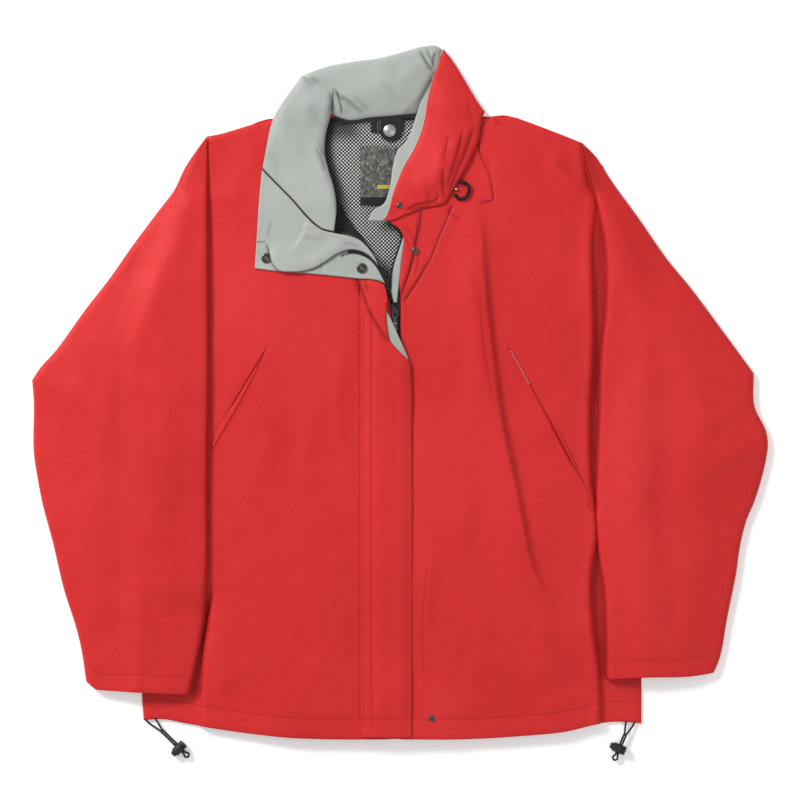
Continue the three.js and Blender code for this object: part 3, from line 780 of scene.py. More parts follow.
CORD_POINTS = 84        # even steps along a hem cord
LOCKS = {"right": ((-287.6, -394.8), (-254.6, -427.2)), "left": ((285.6, -398.9), (273.0, -428.0))}
PITCH, CORD_R, LOCK_R, LOCK_L, BUTTON_R = 1.35, 1.2, 5.5, 16.0, 3.9
for side, (start, end) in LOCKS.items():
    a, b = np.array(start), np.array(end)
    length = float(np.hypot(*(b - a)))
    d = (b - a) / length
    n = np.array([-d[1], d[0]])
    lock_z = LOCK_R + 0.3

    def place(along, off, z):
        return [*(a + d * along + n * off), z]
    rise = min(15, length * 0.38)

    def strand(s):
        # the route repeats the cord's points in part.mjs
        return [place(-7, 4.6 * s, 2.95), place(1, 4.4 * s, 3.0), place(rise, PITCH * s, lock_z),
                place(rise + 4, PITCH * s, lock_z), place(length, PITCH * s, lock_z),
                place(length + 8, PITCH * s, lock_z)]
    turn = [place(length + 12, 3, lock_z - 0.6), place(length + 15, 0, lock_z - 1),
            place(length + 12, -3, lock_z - 0.6)]
    route = curve3(strand(1) + turn + strand(-1)[::-1])
    pts = at_places(route, np.linspace(0, travelled(route)[-1], CORD_POINTS))
    cord(f"{side}_hem_cord_braid", pts.tolist(), CORD_R, f"{side}_hem_cord")

    # the lock lies across the cords: its barrel is the third row, its cord way the first
    basis = [[d[0], d[1], 0], [0, 0, 1], [-n[0], -n[1], 0]]
    centre = (b[0], b[1], lock_z)
    half, way = LOCK_L / 2, PITCH + CORD_R + 0.3
    wall = [(0, -half)]
    wall += [(LOCK_R - 1.2, -half), (LOCK_R - 0.4, -half + 0.4), (LOCK_R, -half + 1.2)]
    for k in range(4):
        h = -half + 2.2 + k * 1.1
        wall += [(LOCK_R, h), (LOCK_R - 0.35, h + 0.3), (LOCK_R - 0.35, h + 0.6), (LOCK_R, h + 0.9)]
    wall += [(LOCK_R, half - 1.0), (LOCK_R - 0.3, half - 0.3), (LOCK_R - 1.0, half), (BUTTON_R + 0.35, half),
             (BUTTON_R + 0.35, -half + 1.5), (0, -half + 1.5)]
    barrel = lathe(f"{side}_lock_barrel", wall, centre, PLASTIC, None, steps=48, frame3=basis)
    hole = [(-20, -CORD_R - 0.3), (20, -CORD_R - 0.3), (20, CORD_R + 0.3), (-20, CORD_R + 0.3)]
    cut(barrel, block("tool", hole, -way, way, PLASTIC, bevel=0, frame3=basis, at=centre))
    barrel.data.set_sharp_from_angle(angle=math.radians(35))
    finish(barrel, f"{side}_lock", [f"{side}_lock_body"], "cord")
    top, low = half + 3.6, -way - 0.9
    plunger = [(0, low), (BUTTON_R, low), (BUTTON_R, top - 1.6), (BUTTON_R - 0.2, top - 1.0),
               (BUTTON_R - 0.8, top - 0.3), (BUTTON_R - 1.6, top), (1.2, top - 0.25), (0, top - 0.3)]
    button = lathe(f"{side}_lock_plunger", plunger, centre, PLASTIC, None, steps=48, frame3=basis)
    cut(button, block("tool", hole, -way, way + 2.5, PLASTIC, bevel=0, frame3=basis, at=centre))
    button.data.set_sharp_from_angle(angle=math.radians(35))
    finish(button, f"{side}_button", [f"{side}_lock_button"], "cord")

    # the return spring, between the barrel's floor and the plunger
    floor_at, room, wire = -half + 1.5, low + half - 1.5, 0.25
    u = np.linspace(0, 1, 97)
    coil = np.column_stack([3 * np.cos(u * 4 * math.pi), 3 * np.sin(u * 4 * math.pi),
                            floor_at + wire + 0.15 + (room - 2 * wire - 0.3) * u])
    coil = np.array(centre) + coil @ np.array(basis)
    spring = wire_tube(f"{side}_lock_coil", coil, wire, STEEL)
    finish(spring, f"{side}_lock", [f"{side}_lock_spring"], "bright_metal")
    inward = np.array(basis[2])
    tuple(world(np.array(centre) + inward * floor_at))
    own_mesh(spring)

# ---- the heights that the cloth follows
RIGHT_TRENCH = curve([(-232.5, -420), (-232.5, -372), (-228.5, -310), (-221.5, -264), (-217, -225)], 6)
LEFT_TRENCH = curve([(252.4, -420), (252.4, -345.6), (245.2, -286.2), (241.7, -231), (249.4, -162),
                     (242.9, -114), (240.6, -33.6), (245.3, 72), (242.9, 179.4), (246.5, 232), (238.5, 247.2),
                     (229.5, 296)], 6)
FOLDS = [
    # line, height, width on its left, width on its right
    ([(104, 250), (108.4, 182.4), (113.2, 110.4), (121.6, 38.4), (127.6, -9.6), (136, -57.6), (146.8, -104.4),
      (156.4, -153.6), (167.2, -204), (191.2, -253.2), (204, -275)], 6.0, 4.6, 38),
    ([(92, 170), (100, 100), (107, 40), (117, -20)], 2.2, 6, 16),
    ([(-35, 142), (-24, 112), (-10, 78), (-2, 60)], 1.2, 12, 3.5),
    ([(46, -185), (39.5, -240), (36.4, -297.6), (40, -356)], 1.6, 10, 3),
    ([(58, -150), (50, -225), (47, -300), (49, -350)], 1.0, 9, 6),
    ([(-152, 316), (-176, 266.4), (-202, 208)], 2.6, 14, 26),
    ([(188, 290), (235, 236)], 2.4, 16, 10),
    ([(-125.6, 14.4), (-138.8, -27.6), (-152, -69.6), (-160, -120)], 1.5, 16, 8),
    ([(-95, 0), (-104, -70), (-100, -130)], 1.0, 14, 10),
    ([(-60, 60), (-64, -20), (-60, -90)], 1.2, 10, 6),
    ([(-50, 40), (-52, -30), (-50, -80)], 0.7, 4, 4),
    ([(172, -270), (187.6, -315.6), (204, -362)], 2.0, 14, 9),
    ([(212, -262), (236, -295), (262, -330), (286, -366)], 2.2, 12, 10),
    ([(74.8, 225.6), (56, 183), (37.6, 136.8)], 1.5, 8, 2.2),
    ([(37, 222), (33, 196), (28, 172.8), (17, 134), (8.5, 104)], 1.5, 2.0, 7),
    ([(121, 331), (129.5, 320)], 1.0, 4, 3),
    ([(-200, -250), (-206, -310), (-200, -370)], 1.8, 16, 12),
    ([(80, -60), (88, -140), (86, -220)], 0.9, 12, 12),
    ([(100, -250), (120, -320), (126, -380)], 1.0, 12, 12),
]
FOLDS = [(curve(line, 8), h, a, b) for line, h, a, b in FOLDS]


BODY_HALF, BODY_LOFT = 302, 10.5    # half the chest, and how high the middle of the body stands
ARMHOLE_Y, ARMHOLE_SLOPE = 60, 0.308
SHOULDER_Y, SHOULDER_X, SHOULDER_SLOPE = 332, 130, 0.29


def half_width(y):
    return np.where(y < ARMHOLE_Y, BODY_HALF, BODY_HALF - (y - ARMHOLE_Y) * ARMHOLE_SLOPE)


def shoulder_line(x):
    return SHOULDER_Y - SHOULDER_SLOPE * np.maximum(0, np.abs(x) - SHOULDER_X)


def loft(x, y):
    belly = np.maximum(0, 1 - (np.abs(x) / half_width(y)) ** 3)
    return BODY_LOFT * belly * smooth((shoulder_line(x) - y) / 110)


def ripple(x, y, k=1.0, seed=0):
    """slack cloth: broad swells, shorter creases and a little crumple"""
    wx = x + 18 * noise(x / 90, y / 90, 5 + seed)
    wy = y + 18 * noise(x / 90, y / 90, 6 + seed)
    swell = 1.5 * noise(wx / 70, wy / 150, 1 + seed)
    crease = 1.1 * (0.5 - np.abs(noise(wx / 52, wy / 90, 2 + seed)))
    small = 0.30 * noise(x / 19, y / 30, 3 + seed) + 0.10 * noise(x / 9, y / 10, 4 + seed)
    return k * (swell + crease + small)


def base(x, y):
    return loft(x, y) + 4.9


def front(x, y):
    """top of the front shell with its folds"""
    z = base(x, y) + ripple(x, y)
    for line, h, a, b in FOLDS:
        lo, hi = line.min(0) - 60, line.max(0) + 60
        near = (x > lo[0]) & (x < hi[0]) & (y > lo[1]) & (y < hi[1])
        if near.any():
            z[near] += fold(x[near], y[near], line, h, a, b)
    s, _ = measure(x, y, LEFT_TRENCH)
    rim = 1.6 * np.exp(-((s - 7) / 7) ** 2)
    deep = smooth(s / 5.0)
    z = np.where(x > 0, 3.6 + (z + rim - 3.6) * deep, z)
    s, _ = measure(x, y, RIGHT_TRENCH)
    reach = smooth((-226 - y) / 45)
    deep = 1 - (1 - smooth(-s / 6.5)) * reach
    z = np.where(x < 0, 3.6 + (z - 3.6) * deep, z)
    return z


def ground(x, y):
    """what a sleeve lies on: the front, then the floor past its edge"""
    beside = smooth((half_width(y) + 26 - np.abs(x)) / 28)
    return np.maximum(front(x, y), 0) * beside * smooth((shoulder_line(x) + 6 - y + 14) / 22)


def deck(x, y):
    """what the collar lies on"""
    return np.minimum(front(x, y), base(x, y) + 2) * smooth((372 - y) / 34)


def loop(points, step=3.0, corner=38):
    return curve(points, step, closed=True, corner=corner)


def inset(ring, d):
    """the closed outline moved inward by d"""
    t = np.roll(ring, -1, 0) - np.roll(ring, 1, 0)
    t /= np.hypot(*t.T)[:, None]
    x, y = ring.T
    turn = 1 if np.sum(x * np.roll(y, -1) - np.roll(x, -1) * y) > 0 else -1
    return ring + turn * d * np.column_stack([-t[:, 1], t[:, 0]])


# ---- outlines
SHOULDER_R = [(-222, 307), (-206, 310), (-172, 320), (-142, 328)]
SHOULDER_L = [(120, 331), (148, 330), (154, 328), (202, 310), (229.5, 299)]
ARMHOLE_R = [(-292, 62), (-262, 120), (-240, 190), (-228, 262)]
ARMHOLE_L = [(243, 262), (258, 205), (270, 140), (292, 62)]
HEM_R = [(-76, -416), (-126, -414), (-181, -408), (-247, -398), (-274, -393), (-298, -394)]
HEM_L = [(300, -398), (271, -396), (249, -398), (209, -407), (159, -412), (89, -416)]
SIDE_R = curve([(-298, -394), (-300, -360), *ARMHOLE_R, *SHOULDER_R], 6)
SIDE_L = curve([*SHOULDER_L, *ARMHOLE_L, (300, -343), (300, -398)], 6)
HEM = curve([*HEM_L, *HEM_R], 6)
HEM_SEAM = curve([(x, y + 24) for x, y in [*HEM_L, *HEM_R]], 4)


def hem(x, y):
    """the turned hem: a tunnel for the cord, and the row that closes it"""
    d = away(x, y, HEM)
    tunnel = 0.9 * np.exp(-((d - 7) / 5.5) ** 2) + 0.35 * np.exp(-((d - 18) / 5) ** 2)
    pucker = 0.25 * noise(x / 9, y / 30, 7) * np.exp(-((d - 20) / 10) ** 2)
    return tunnel + pucker + groove(x, y, HEM_SEAM, 0.35, 1.3) - 1.0 * (1 - roll(d, 1.6))


# ---- back
back_outline = loop([*HEM_R, (-300, -360), *ARMHOLE_R, *SHOULDER_R, *SHOULDER_L, *ARMHOLE_L, (300, -343), *HEM_L], 8)


def back_height(x, y):
    return 0.95 + 0.12 * noise(x / 40, y / 60, 2)


cloth("back_shell", back_outline, back_height, RED, ["back_panel"], spacing=13, rims=(1.5,))

NECK = (-100.0, 58.0, 96.0, 332.0)
LINING_BACK = [*[(x, y + 15) for x, y in HEM_R], *ARMHOLE_R, *[(x, y - 4) for x, y in SHOULDER_R],
               *[(x, y - 4) for x, y in SHOULDER_L], *ARMHOLE_L, *[(x, y + 15) for x, y in HEM_L]]


def lining_height(x, y):
    near = smooth((x + 120) / 25) * smooth((80 - x) / 25) * smooth((y - 80) / 30)
    wave = 0.55 + 0.55 * noise(x / 26, y / 44, 1) + 0.2 * noise(x / 11, y / 15, 3)
    return 2.0 + near * wave


def perforated(name, keep, height, mat, area_loop, pitch=3.1, r=1.2):
    """knitted mesh: a net of round holes in rows turned by 45 degrees"""
    q = pitch / math.sqrt(2)
    lo, hi = area_loop.min(0), area_loop.max(0)
    verts, faces, seen = [], [], {}

    def vert(x, y, key=None):
        if key is not None and key in seen:
            return seen[key]
        verts.append((x, y))
        if key is not None:
            seen[key] = len(verts) - 1
        return len(verts) - 1
    ni, nj = int((hi[0] - lo[0]) / q) + 1, int((hi[1] - lo[1]) / q) + 1
    cells = [(i, j) for i in range(ni) for j in range(nj) if (i + j) % 2 == 0]
    cx = np.array([lo[0] + i * q for i, _ in cells])
    cy = np.array([lo[1] + j * q for _, j in cells])
    ok = keep(cx, cy)
    for (i, j), x, y, good in zip(cells, cx, cy, ok):
        if not good:
            continue
        corners = [(x + q, y, (2 * i + 2, 2 * j)), (x, y + q, (2 * i, 2 * j + 2)),
                   (x - q, y, (2 * i - 2, 2 * j)), (x, y - q, (2 * i, 2 * j - 2))]
        ring = []
        for k in range(4):
            a, b = corners[k], corners[(k + 1) % 4]
            ring.append(vert(*a))
            mid = ((a[0] + b[0]) / 2, (a[1] + b[1]) / 2, ((a[2][0] + b[2][0]) // 2, (a[2][1] + b[2][1]) // 2, "m"))
            ring.append(vert(*mid))
        hole = [vert(x + r * math.cos(k * math.pi / 4), y + r * math.sin(k * math.pi / 4)) for k in range(8)]
        faces += [[ring[k], ring[(k + 1) % 8], hole[(k + 1) % 8], hole[k]] for k in range(8)]
    flat = np.array(verts)
    z = height(flat[:, 0], flat[:, 1])
    return new_object(name, world(np.column_stack([flat, z])), faces, mat)


# the pale coating on the back of the shell cloth, seen through the net
coating = loop([(-104, 92), (62, 92), (62, 326), (-104, 326)], 8)
COLLAR_SHADE = curve([(-60, 328), (-73, 333), (-79, 308), (-80, 286), (-76, 268), (-69, 244), (-66, 220),
                      (-69, 180)], 4)


# painted shade on the coating under the net: along the right collar's inner edge, in the top-left corner and just
# under the collar
def coating_painted_shade(x, y):
    near = 0.9 * np.exp(-(np.maximum(away(x, y, COLLAR_SHADE) - 3, 0) / 6.5) ** 2)
    corner = 0.75 * smooth((y - 296) / 18) * smooth((-30 - x) / 20)
    return 1 - (1 - near) * (1 - corner) * (1 - 0.5 * smooth((y - 316) / 10))


cloth("back_shell_coating", coating, lambda x, y: lining_height(x, y) - 0.5, RED_IN, t=0.2,
      spacing=4, rims=(1.5,), painted_shade=coating_painted_shade)
neck_loop = np.array([(NECK[0], NECK[2]), (NECK[1], NECK[2]), (NECK[1], NECK[3]), (NECK[0], NECK[3])])
knit = perforated("knit", lambda x, y: inside(x, y, neck_loop) & (y < 329), lining_height, KNIT, neck_loop)


def lining_low(x, y):
    covered = (x > NECK[0] + 6) & (x < NECK[1] - 6) & (y > NECK[2] + 6)
    return lining_height(x, y) - 0.25 - 0.7 * covered


flat, tris = triangles(loop([(0.985 * x, y) for x, y in LINING_BACK], 8), 13, (), (1.5,))
centre = flat[tris].mean(1)
open_neck = (centre[:, 0] > NECK[0] + 8) & (centre[:, 0] < NECK[1] - 8) & (centre[:, 1] > NECK[2] + 8) \
    & (centre[:, 1] < 322)
verts, faces, index = thicken(np.column_stack([flat, lining_low(*flat.T)]), tris[~open_neck], 0.4)
back_lining = new_object("back_lining_cloth", world(verts), faces, [MESH, MESH], index=index)
back_lining = join([back_lining, knit], "back_lining_cloth")
finish(back_lining, "jacket", ["back_lining"], "lining_mesh")

# ---- fronts
right_front = loop([*HEM_R, (-300, -360), *ARMHOLE_R, *SHOULDER_R, (-124, 325), (-98, 300), (-88, 270), (-78, 240),
                    (-78, 200), (-66, 186), (-37, 173), (-26, 160), (-11, 128), (-3, 108), (-3, -416)], 4)
left_front = loop([(11, -416), (11, 60), (10.5, 84), (10.5, 108), (9.2, 134), (12, 160), (14.6, 182), (10, 194),
                   (-7, 205), (14, 222), (44, 236), (64, 233), (98, 302), (104, 326), *SHOULDER_L, *ARMHOLE_L,
                   (300, -343), *HEM_L], 4)
NECK_EDGE_L = curve([(11, -416), (11, 60), (10.5, 84), (10.5, 108), (9.2, 134), (12, 160), (14.6, 182),
                     (10, 194), (-7, 205)], 5)
YOKE = curve([(121, 331), (108, 318), (103.6, 300), (107, 285), (115.6, 272.4), (122.3, 230.4)], 3)
PATCH = curve([(103.6, 300), (106.4, 284), (115.6, 262), (122.3, 230.4), (118, 228.6), (106, 229.2)], 3)
POCKET_R = curve([(-150, 51), (-183, -3), (-215, -60)], 4)
POCKET_L = curve([(142, 51), (171, -1), (213, -82), (236, -128)], 4)
FLAP_SEAM = curve([(-38, 128), (-38, -392)], 4)


def shell(x, y, side):
    z = front(x, y) + hem(x, y)
    d = away(x, y, SIDE_R if side < 0 else SIDE_L)
    return 1.6 + (z - 1.6) * roll(d, 5.5)


def right_shell(x, y):
    z = shell(x, y, -1)
    s, _ = measure(x, y, POCKET_R)
    z = z + 0.5 * np.exp(-((s - 4) / 4) ** 2) - 0.9 * np.exp(-(s / 0.9) ** 2)
    return z + groove(x, y, FLAP_SEAM, 0.5, 1.0)


def left_shell(x, y):
    z = shell(x, y, 1)
    s, _ = measure(x, y, POCKET_L)
    z = z + 0.8 * np.exp(-((s + 4) / 4) ** 2) - 0.9 * np.exp(-(s / 0.9) ** 2)
    z = z + groove(x, y, PATCH, 0.55, 0.9) + groove(x, y, YOKE, 0.3, 0.9)
    d = away(x, y, NECK_EDGE_L)
    return z - 1.2 * (1 - roll(d, 2.2)) + 0.35 * np.exp(-((d - 3) / 2.5) ** 2)


# painted shade in the trenches where the fronts fold down beside the sleeves
def trench_painted_shade(x, y):
    s, _ = measure(x, y, LEFT_TRENCH)
    left = 0.55 * smooth((3.5 - s) / 6) * smooth((s + 20) / 10) * smooth((y + 352) / 16) * (x > 0)
    s, _ = measure(x, y, RIGHT_TRENCH)
    right = 0.6 * smooth((5.5 + s) / 4) * smooth((14 - s) / 10) * smooth((y + 372) / 12)
    return left + right * smooth((-226 - y) / 40) * (x < 0)


# creases and seams: each mark's dark and spread are painted shade along it
RIGHT_MARKS = [
    (POCKET_R, 0.6, 0.8, 0.7, 0.8, True, 0.06), (HEM_SEAM, 0, 1, 0.08, 0.8, True, 0.01),
    (FLAP_SEAM, 0, 1, 0.16, 0.9, True, 0.02),
    mark([(-41.6, 141), (-35, 122), (-27, 98), (-14, 76), (-4, 60)], 0.8, 2, 0.45, (1.3, 3)),
    mark([(-44, 150), (-39, 128), (-34, 112)], 1.4, 2, 0.6, (1.4, 4)),
    mark([(-128, 18), (-141, -20), (-150, -58)], 0.5, 3, 0.10, 6, False),
    mark([(-56, 30), (-57, -20), (-55, -70)], 0.5, 2, 0.12, 2.5, False),
]
# creases and seams: each mark's dark and spread are painted shade along it
LEFT_MARKS = [
    (POCKET_L, 0.6, 0.8, 0.75, 0.9, True, 0.06), (HEM_SEAM, 0, 1, 0.08, 0.8, True, 0.01),
    (PATCH, 0.2, 0.8, 0.55, 0.8, True, 0.05), (YOKE, 0.3, 0.8, 0.45, 0.9, True, 0.05),
    (FOLDS[0][0], 0.4, 1.5, 0.42, (3.2, 0.9), True, 0.2),
    mark([(107, 120), (110, 60), (120, 0), (124, -40)], 0.5, 2, 0.2, (2, 1)),
    mark([(176, -12), (200, -56), (222, -98), (236, -128)], 0.5, 1.0, 0.75, 1.3, ends=0.1),
    mark([(196, -38), (214, -72), (228, -104), (236, -124)], 0.3, 1.0, 0.5, 1.0),
    mark([(74.8, 227), (66, 206), (56, 183), (46, 158), (34, 136.8), (22, 118), (13, 104)], 1.4, 1.6, 0.8, (0.9, 2.6),
         ends=0.08),
    mark([(36.4, 221.4), (34, 200), (29.5, 178), (24, 152), (15, 126), (6.4, 101)], 1.6, 1.6, 0.8, (1.0, 2.4),
         ends=0.08),
    mark([(30, 207), (31, 190), (26, 171)], 1.2, 1.4, 0.55, 1.4),
    mark([(19, 196), (25, 186), (28, 173)], 1.0, 1.4, 0.45, 1.3),
    mark([(12, 190), (21, 176), (24, 160), (19, 140)], 0.8, 1.6, 0.30, 1.8),
    mark([(33, 168), (31, 150), (27, 138)], 0.8, 1.4, 0.40, 1.4),
    mark([(121.6, 331), (125, 326), (129.5, 320)], 1.0, 1.4, 0.5, 1.3),
    mark([(66, 222), (72, 214), (84, 205)], 0.8, 1.6, 0.3, 2),
    mark([(101, 229), (110, 226), (121, 229)], 0.8, 1.2, 0.4, 1.2),
    mark([(46, -189), (39.5, -240), (36.8, -297), (40, -352)], 0.8, 2, 0.30, (1.3, 2.5)),
    mark([(53, -150), (50, -225), (48, -290)], 0.4, 2, 0.15, 2.5, False),
    mark([(188, 288), (212, 262), (236, 236)], 0.6, 3, 0.22, (8, 3), False),
]
for side, outline, height, trench, marks in (("right", right_front, right_shell, RIGHT_TRENCH, RIGHT_MARKS),
                                             ("left", left_front, left_shell, LEFT_TRENCH, LEFT_MARKS)):
    cloth(f"{side}_front_shell", outline, height, RED, [f"{side}_front_panel"], spacing=4.6, lines=[trench],
          marks=marks, painted_shade=trench_painted_shade)


def under_front(x, y):
    return np.minimum(base(x, y) - 3.4, front(x, y) - 1.6)


right_lining = loop([*[(x, y + 15) for x, y in HEM_R if x > -230], (-212, -385), (-212, 60), (-214, 290), (-206, 304),
                     (-172, 314), (-142, 322), (-126, 300), (-104, 165), (-55, 138), (-14, 88), (-14, -398)], 8)
left_lining = loop([(22, -398), (22, 95), (36, 150), (38, 205), (66, 222), (108, 305), (120, 325), (148, 324),
                    (202, 304), (222, 285), (226, 200), (226, -390), *[(x, y + 15) for x, y in HEM_L if x < 220]], 8)
for side, outline in (("right", right_lining), ("left", left_lining)):
    cloth(f"{side}_front_mesh", outline, under_front, MESH, [f"{side}_front_lining"], t=0.4, spacing=13,
          rims=(1.5,))

# ---- sleeves
SLEEVE_R = [(-222, 306), (-247, 270), (-261, 241), (-277, 220), (-310, 176), (-338, 136), (-366, 100), (-403, 49),
            (-421, 29), (-431, 14), (-429, -11), (-429, -72), (-424, -106), (-419, -132), (-406, -181), (-393, -236),
            (-379, -280), (-372, -308), (-366, -348), (-354, -357), (-301, -360), (-243, -363), (-224, -264),
            (-220.5, -107), (-219, 74), (-221, 266)]
SLEEVE_L = [(229.5, 298), (245, 282), (263, 254), (296, 208), (330, 159), (358, 125), (396, 74), (434, 22),
            (435, -17), (449, -48), (451, -62), (449, -80), (435, -131), (426, -152), (418, -183), (413, -217),
            (402, -272), (393, -320), (386, -337), (358, -341), (301, -342), (258, -345), (258, -286), (256, -240),
            (249, -194), (246, -142), (249, -34), (252, 51), (257, 97), (257, 166), (251, 207), (245, 235)]
CUFF_R = [(-366, -348), (-354, -357), (-301, -360), (-243, -363)]
CUFF_L = [(386, -337), (358, -341), (301, -342), (258, -345)]
SLEEVE_FOLDS = {
    "right": [([(-232, 250), (-290, 120), (-330, 30)], 1.8, 20, 26),
              ([(-330, 60), (-345, -60), (-338, -180)], 1.6, 22, 18),
              ([(-262, 60), (-268, -100), (-262, -230)], 1.3, 14, 22),
              ([(-395, 20), (-350, -30), (-300, -50)], 1.2, 9, 14),
              ([(-300, -210), (-292, -280), (-296, -345)], 1.0, 10, 14),
              ([(-372, -110), (-352, -220), (-346, -320)], 1.2, 12, 16)],
    "left": [([(262, 230), (320, 110), (365, 20)], 1.8, 20, 26),
             ([(350, 60), (372, -60), (360, -190)], 1.8, 18, 22),
             ([(285, 60), (292, -90), (282, -220)], 1.4, 16, 20),
             ([(440, 0), (400, -30), (350, -36)], 1.6, 9, 13),
             ([(446, -70), (405, -80), (360, -110)], 1.2, 8, 12),
             ([(330, -200), (322, -270), (326, -330)], 1.0, 10, 14),
             ([(392, -130), (372, -230), (362, -320)], 1.2, 12, 16)],
}

# creases and edges: each mark's dark and spread are painted shade along it
SLEEVE_MARKS = {
    "right": [([(-222, 292), (-221, 180), (-219, 60), (-221, -100), (-221, -240), (-232, -350)], 0, 1, 0.28, 4),
              ([(-224, 284), (-236, 262), (-246, 236)], 0.8, 3, 0.12, 5, False),
              ([(-300, 180), (-318, 120), (-340, 60)], 0.8, 4, 0.08, 7, False)],
    "left": [([(230, 297), (236, 280), (242, 258), (247, 235)], 0.8, 3, 0.55, (7, 3), True, 0.15),
             ([(250, 204), (257, 166), (257, 97), (252, 51), (249, -34), (246, -142)], 0, 1, 0.15, 3),
             ([(268, 236), (300, 150), (326, 90)], 0.6, 4, 0.08, 7, False)],
}


def sleeve(side, points, cuff):
    k = -1 if side == "right" else 1
    outline = loop(points, 4, corner=27)
    cuff_line = curve(cuff, 4)
    a = int(np.argmin(np.hypot(*(outline - cuff[0]).T)))
    b = int(np.argmin(np.hypot(*(outline - cuff[-1]).T)))
    edge = np.vstack([outline[b:], outline[:a + 1]])
    top_y = outline[:, 1].max()
    folds = [(curve(line, 8), h, p, q) for line, h, p, q in SLEEVE_FOLDS[side]]
    hem_row = curve([(x, y + 21) for x, y in cuff], 3)

    def head(y):
        return smooth((top_y - 4 - y) / 95)

    def under(x, y):
        d = away(x, y, edge)
        rise = 0.7 + 1.9 * head(y)
        return ground(x, y) + 0.95 + 0.9 * head(y) + rise * (1 - roll(d, 4.5))

    def top(x, y):
        d = away(x, y, edge)
        h = head(y)
        lift = (0.4 + 5.2 * h) * roll(d, 5.5) + 7.5 * h * (1 - np.exp(-(d / 42) ** 1.6))
        slack = ripple(x, y, 1.15, 1) * (0.25 + 0.75 * h)
        for line, height, p, q in folds:
            slack = slack + fold(x, y, line, height, p, q, 0.35)
        c = away(x, y, cuff_line)
        band = 0.6 * np.exp(-((c - 6) / 5) ** 2) + groove(x, y, hem_row, 0.3, 1.2) - 0.8 * (1 - roll(c, 1.5))
        low = ground(x, y) + 1.65 + 2.8 * h + 0.7 * (1 - h)
        return low + lift + slack * roll(d, 26) + band * h
    span = ("jacket", f"{side}_sleeve", (k * 228, 300, 0), (k * 239, 258, 0))
    creases = [mark(*m) for m in SLEEVE_MARKS[side]]
    cloth(f"{side}_under_sleeve_cloth", outline, under, RED, [f"{side}_under_sleeve"],
          spacing=8, blend=span)
    cloth(f"{side}_top_sleeve_cloth", outline, top, RED, [f"{side}_top_sleeve"],
          spacing=4.8, lines=[hem_row], blend=span, marks=creases)
    stitches(f"{side}_cuff_stitching", [(hem_row, top)], THREAD_RED, slot="shell_red", blend=span)


FAN = 14.0              # how far the folded underarm cloth reaches under the sleeve


def underarm(side, seam):
    """cloth that lies folded under the sleeve along the armhole, reaching FAN out under it"""
    k = -1 if side == "right" else 1
    line = curve(seam, 6)
    n, m = 31, len(line)
    top, foot = line[0], line[-1]
    out = k * np.array([-(foot - top)[1], (foot - top)[0]]) / np.hypot(*(foot - top))
    u, v = np.meshgrid(np.linspace(0, 1, n), np.linspace(0, 1, m))
    v = v * (1 - 0.14 * np.sin(math.pi * u) * v)
    inner = np.stack([np.interp(v * (m - 1), range(m), line[:, c]) for c in (0, 1)], -1) - 3 * out
    hinge = top + v[..., None] * (foot - top)
    a, b = np.minimum(u / 0.2, 1)[..., None], np.maximum(u - 0.2, 0)[..., None] / 0.8
    x, y = (inner + a * (hinge - inner) + b * FAN * out).reshape(-1, 2).T
    c = np.array([j * n + i for j in range(m - 1) for i in range(n - 1)])
    tris = np.vstack([np.column_stack([c, c + 1, c + n + 1]), np.column_stack([c, c + n + 1, c + n])])
    verts, faces, index = thicken(np.column_stack([x, y, ground(x, y) + 0.22]), tris, 0.16)
    obj = new_object(f"{side}_underarm_cloth", world(verts), faces, [RED, RED], index=index)
    mid = (top + foot) / 2
    finish(obj, "jacket", (), "shell_red", ("jacket", f"{side}_sleeve", (*mid, 6), (*(mid + FAN * out), 6)))


sleeve("right", SLEEVE_R, CUFF_R)
sleeve("left", SLEEVE_L, CUFF_L)
underarm("right", [(-226, 268), *ARMHOLE_R[::-1]])
underarm("left", [(240.5, 268), *ARMHOLE_L])

# ---- pocket welts: a narrow lip along each slanted opening
welt_r = loop([(-149.5, 51.5), (-182, -3), (-214, -56), (-215.5, -70), (-186, -20), (-158, 34)], 2.5, 60)
welt_l = loop([(142, 52), (171.5, -1), (213.5, -82), (236, -124), (235.8, -139), (207, -86), (165, -4), (146, 36)],
              2.5, 60)


def welt_height(outline, shell_at):
    ring = closed(outline)

    def height(x, y):
        d = away(x, y, ring)
        return shell_at(x, y) + 0.35 + 0.75 * roll(d, 1.4)
    return height


right_welt_z = welt_height(welt_r, right_shell)
left_welt_z = welt_height(welt_l, left_shell)
for side, outline, height in (("right", welt_r, right_welt_z), ("left", welt_l, left_welt_z)):
    cloth(f"{side}_pocket_lip", outline, height, RED, [f"{side}_pocket_welt"], t=0.5, spacing=3, rims=(0.4, 1.0))


# ---- neck: tape, label and snap tab
def neck_level(x, y):
    return lining_height(x, y) + 0.55


tape_loop = loop([(-62, 328), (-45, 329), (-27, 331), (0, 333), (30, 336), (32, 329), (0, 326.5), (-28, 324.5),
                  (-46, 323), (-62, 322)], 3)
cloth("neck_tape_cloth", tape_loop, lambda x, y: neck_level(x, y) + 0.5, TAPE, ["neck_tape"],
      t=0.4, spacing=4, rims=(0.5,))
label_loop = loop([(-38, 295), (-38, 224), (4.5, 224), (4.5, 295)], 3)


def label_height(x, y):
    return neck_level(x, y) + 0.6 + 0.35 * np.sin((x + 38) / 42 * math.pi) + 0.25 * noise(x / 20, y / 20, 5)


